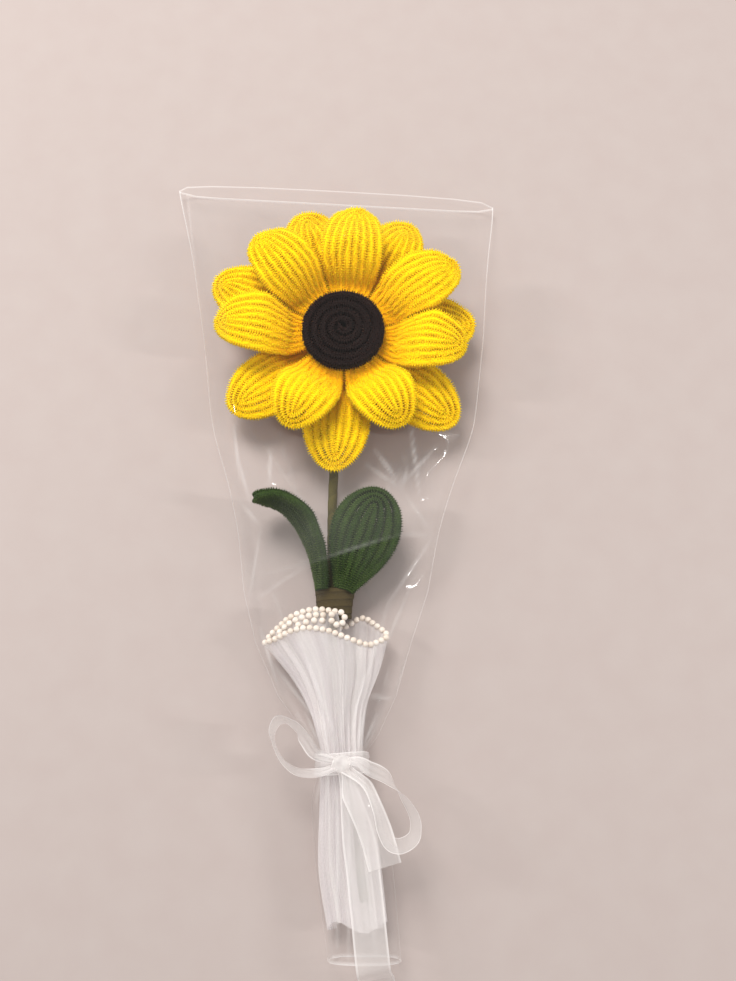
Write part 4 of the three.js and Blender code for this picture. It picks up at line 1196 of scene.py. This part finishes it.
flatter = 1 + 0.3 * smoothstep(np.abs(back_y - NECK[1]), 8, 30)
back_z = film_line["seam"] - (film_line["seam"] - film_line["base"]) * np.minimum(1, flatter * back_rise)
back_z = back_z + back_height * np.minimum(back_rise, 1)
print("film grids", front_x.shape, back_x.shape)

# %% [markdown]
# ## Film finish
# Clear film could be made with a glass shader, but glass bends the light as a thick solid does, and a film
# doesn't. So a see-through shader is blended with a weak mirror, and a white veil shows on folds, welds and
# cut edges. A fainter veil on the front panel's facet above the pulled folds is a painted reflection of the
# light on that facet.

# %% Film finish
def film_finish(name, haze_scale):
    """Clear film: see-through, mirrored by Fresnel, whitened along its folds, its welds and its cut edge, and
    veiled on one facet by a painted reflection.
    """
    finish = Finish(name)
    across, along = finish.across_along()
    weld = (across.from_middle() * 60 - 58.6).clamped()
    lip = (1 - along * 220).clamped() + (along * 220 - 219).clamped()
    folds = finish.add("ShaderNodeAttribute", {"attribute_name": "whitened"}, None, "Fac")
    cloud = ((finish.noise(across * 5, along * 9, 3.0) - 0.42) * 0.5).clamped()
    lower = (along * 6 - 2.2).clamped()
    haze = cloud * lower * haze_scale + 0.004 + 0.4 * weld + 0.4 * lip + 0.3 * folds
    shine = finish.add("ShaderNodeFresnel", None, {"IOR": 1.22})
    mirror = finish.add("ShaderNodeBsdfGlossy", None, {"Color": (1, 1, 1, 1), "Roughness": 0.07})
    sheen = shine.math("MINIMUM", 0.03 + 0.13 * lower)
    clear = finish.blend(sheen, finish.add("ShaderNodeBsdfTransparent"), mirror)
    veil = finish.solid(base_color=rgb(250, 248, 247), roughness=0.4)
    return finish.shown(finish.blend(haze.clamped(), clear, veil))


def film_piece(name, places_xyz, whitened, finish, node, turned):
    """A panel's grid as a piece, with the whiteness of its folds, and on the front a painted reflection on one
    facet, kept on its points.
    """
    grid = np.stack(places_xyz, -1)
    quads, places = grid_faces(*grid.shape[:2])
    if turned:
        quads, places = quads[:, ::-1], places[:, ::-1]
    piece = make_piece(name, grid.reshape(-1, 3), [quads], places, finish, [node])
    layer = piece.data.attributes.new("whitened", "FLOAT", "POINT")
    layer.data.foreach_set("value", whitened.astype(np.float32).ravel())
    return piece


front_panel = film_piece("sleeve_front_film", (front_x, front_y, front_z), front_white_and_lit,
                         film_finish("front film", 0.1), "sleeve_front_panel", True)
back_panel = film_piece("sleeve_back_film", (back_x, back_y, back_z), back_white,
                        film_finish("back film", 0.12), "sleeve_back_panel", False)

# %% [markdown]
# ## Soft sheets
# The areas of the net, the ribbon and the two film panels are printed.

# %% Sheet sizes
for piece in (tulle, ribbon, front_panel, back_panel):
    print(piece.name, "area", round(sum(polygon.area for polygon in piece.data.polygons), 4), "m2")

# %% [markdown]
# ## Room and light
# A plain pale table, one large soft lamp beyond the head's end, a narrow lamp on each side for glints, and an
# even sky. The film would mirror the large lamp as a bright square, so mirrors don't see it. The table is a
# little darker than the net, the ribbon and the film, so that their white still shows on it.

# %% Table and lamps
TABLE_HALF = 3
TABLE_BELOW = 0.0002


def studio_table():
    """A square sheet just under the flower, with a faint mottle so that it isn't a flat colour."""
    finish = Finish("table")
    place = finish.add("ShaderNodeTexCoord", None, None, "Object")
    mottle = finish.add("ShaderNodeTexNoise", None, {"Vector": place, "Scale": 60.0, "Detail": 4.0})
    colour = finish.ramp(mottle, (0.3, 0.7), [(180, 167, 163), (182, 170, 166)])
    mesh = bpy.data.meshes.new("table")
    sides = ((-1, -1), (1, -1), (1, 1), (-1, 1))
    corners = [(x * TABLE_HALF, y * TABLE_HALF, -TABLE_BELOW) for x, y in sides]
    mesh.from_pydata(corners, [], [(0, 1, 2, 3)])
    mesh.materials.append(finish.shown(finish.solid(base_color=colour, roughness=0.6)))
    table = bpy.data.objects.new("table", mesh)
    bpy.context.collection.objects.link(table)


def lamp(name, place, target, wide, tall, power, colour):
    """A soft four-sided lamp that faces a target."""
    data = bpy.data.lights.new(name, "AREA")
    data.shape, data.size, data.size_y, data.energy, data.color = "RECTANGLE", wide, tall, power, colour
    light = bpy.data.objects.new(name, data)
    light.location = place
    aim = np.array(target, float) - np.array(place, float)
    light.rotation_euler = (math.acos(-aim[2] / np.linalg.norm(aim)), 0, math.atan2(-aim[0], aim[1]))
    bpy.context.collection.objects.link(light)
    return light


studio_table()
key = lamp("key", (-0.35, 0.85, 1.35), (0, -0.05, 0), 0.7, 0.7, 25.0, (1.0, 0.98, 0.95))
key.visible_glossy = False
lamp("left strip", (-0.95, 0.1, 0.6), (0, -0.1, 0), 0.04, 0.2, 3.0, (1.0, 0.99, 0.97))
lamp("right strip", (0.95, -0.2, 0.6), (0, -0.1, 0), 0.04, 0.2, 3.0, (1.0, 0.99, 0.97))
world = bpy.data.worlds.new("sky")
world.use_nodes = True
sky = world.node_tree.nodes["Background"].inputs
sky["Color"].default_value = (1.0, 0.98, 0.96, 1)
sky["Strength"].default_value = 0.55
scene.world = world
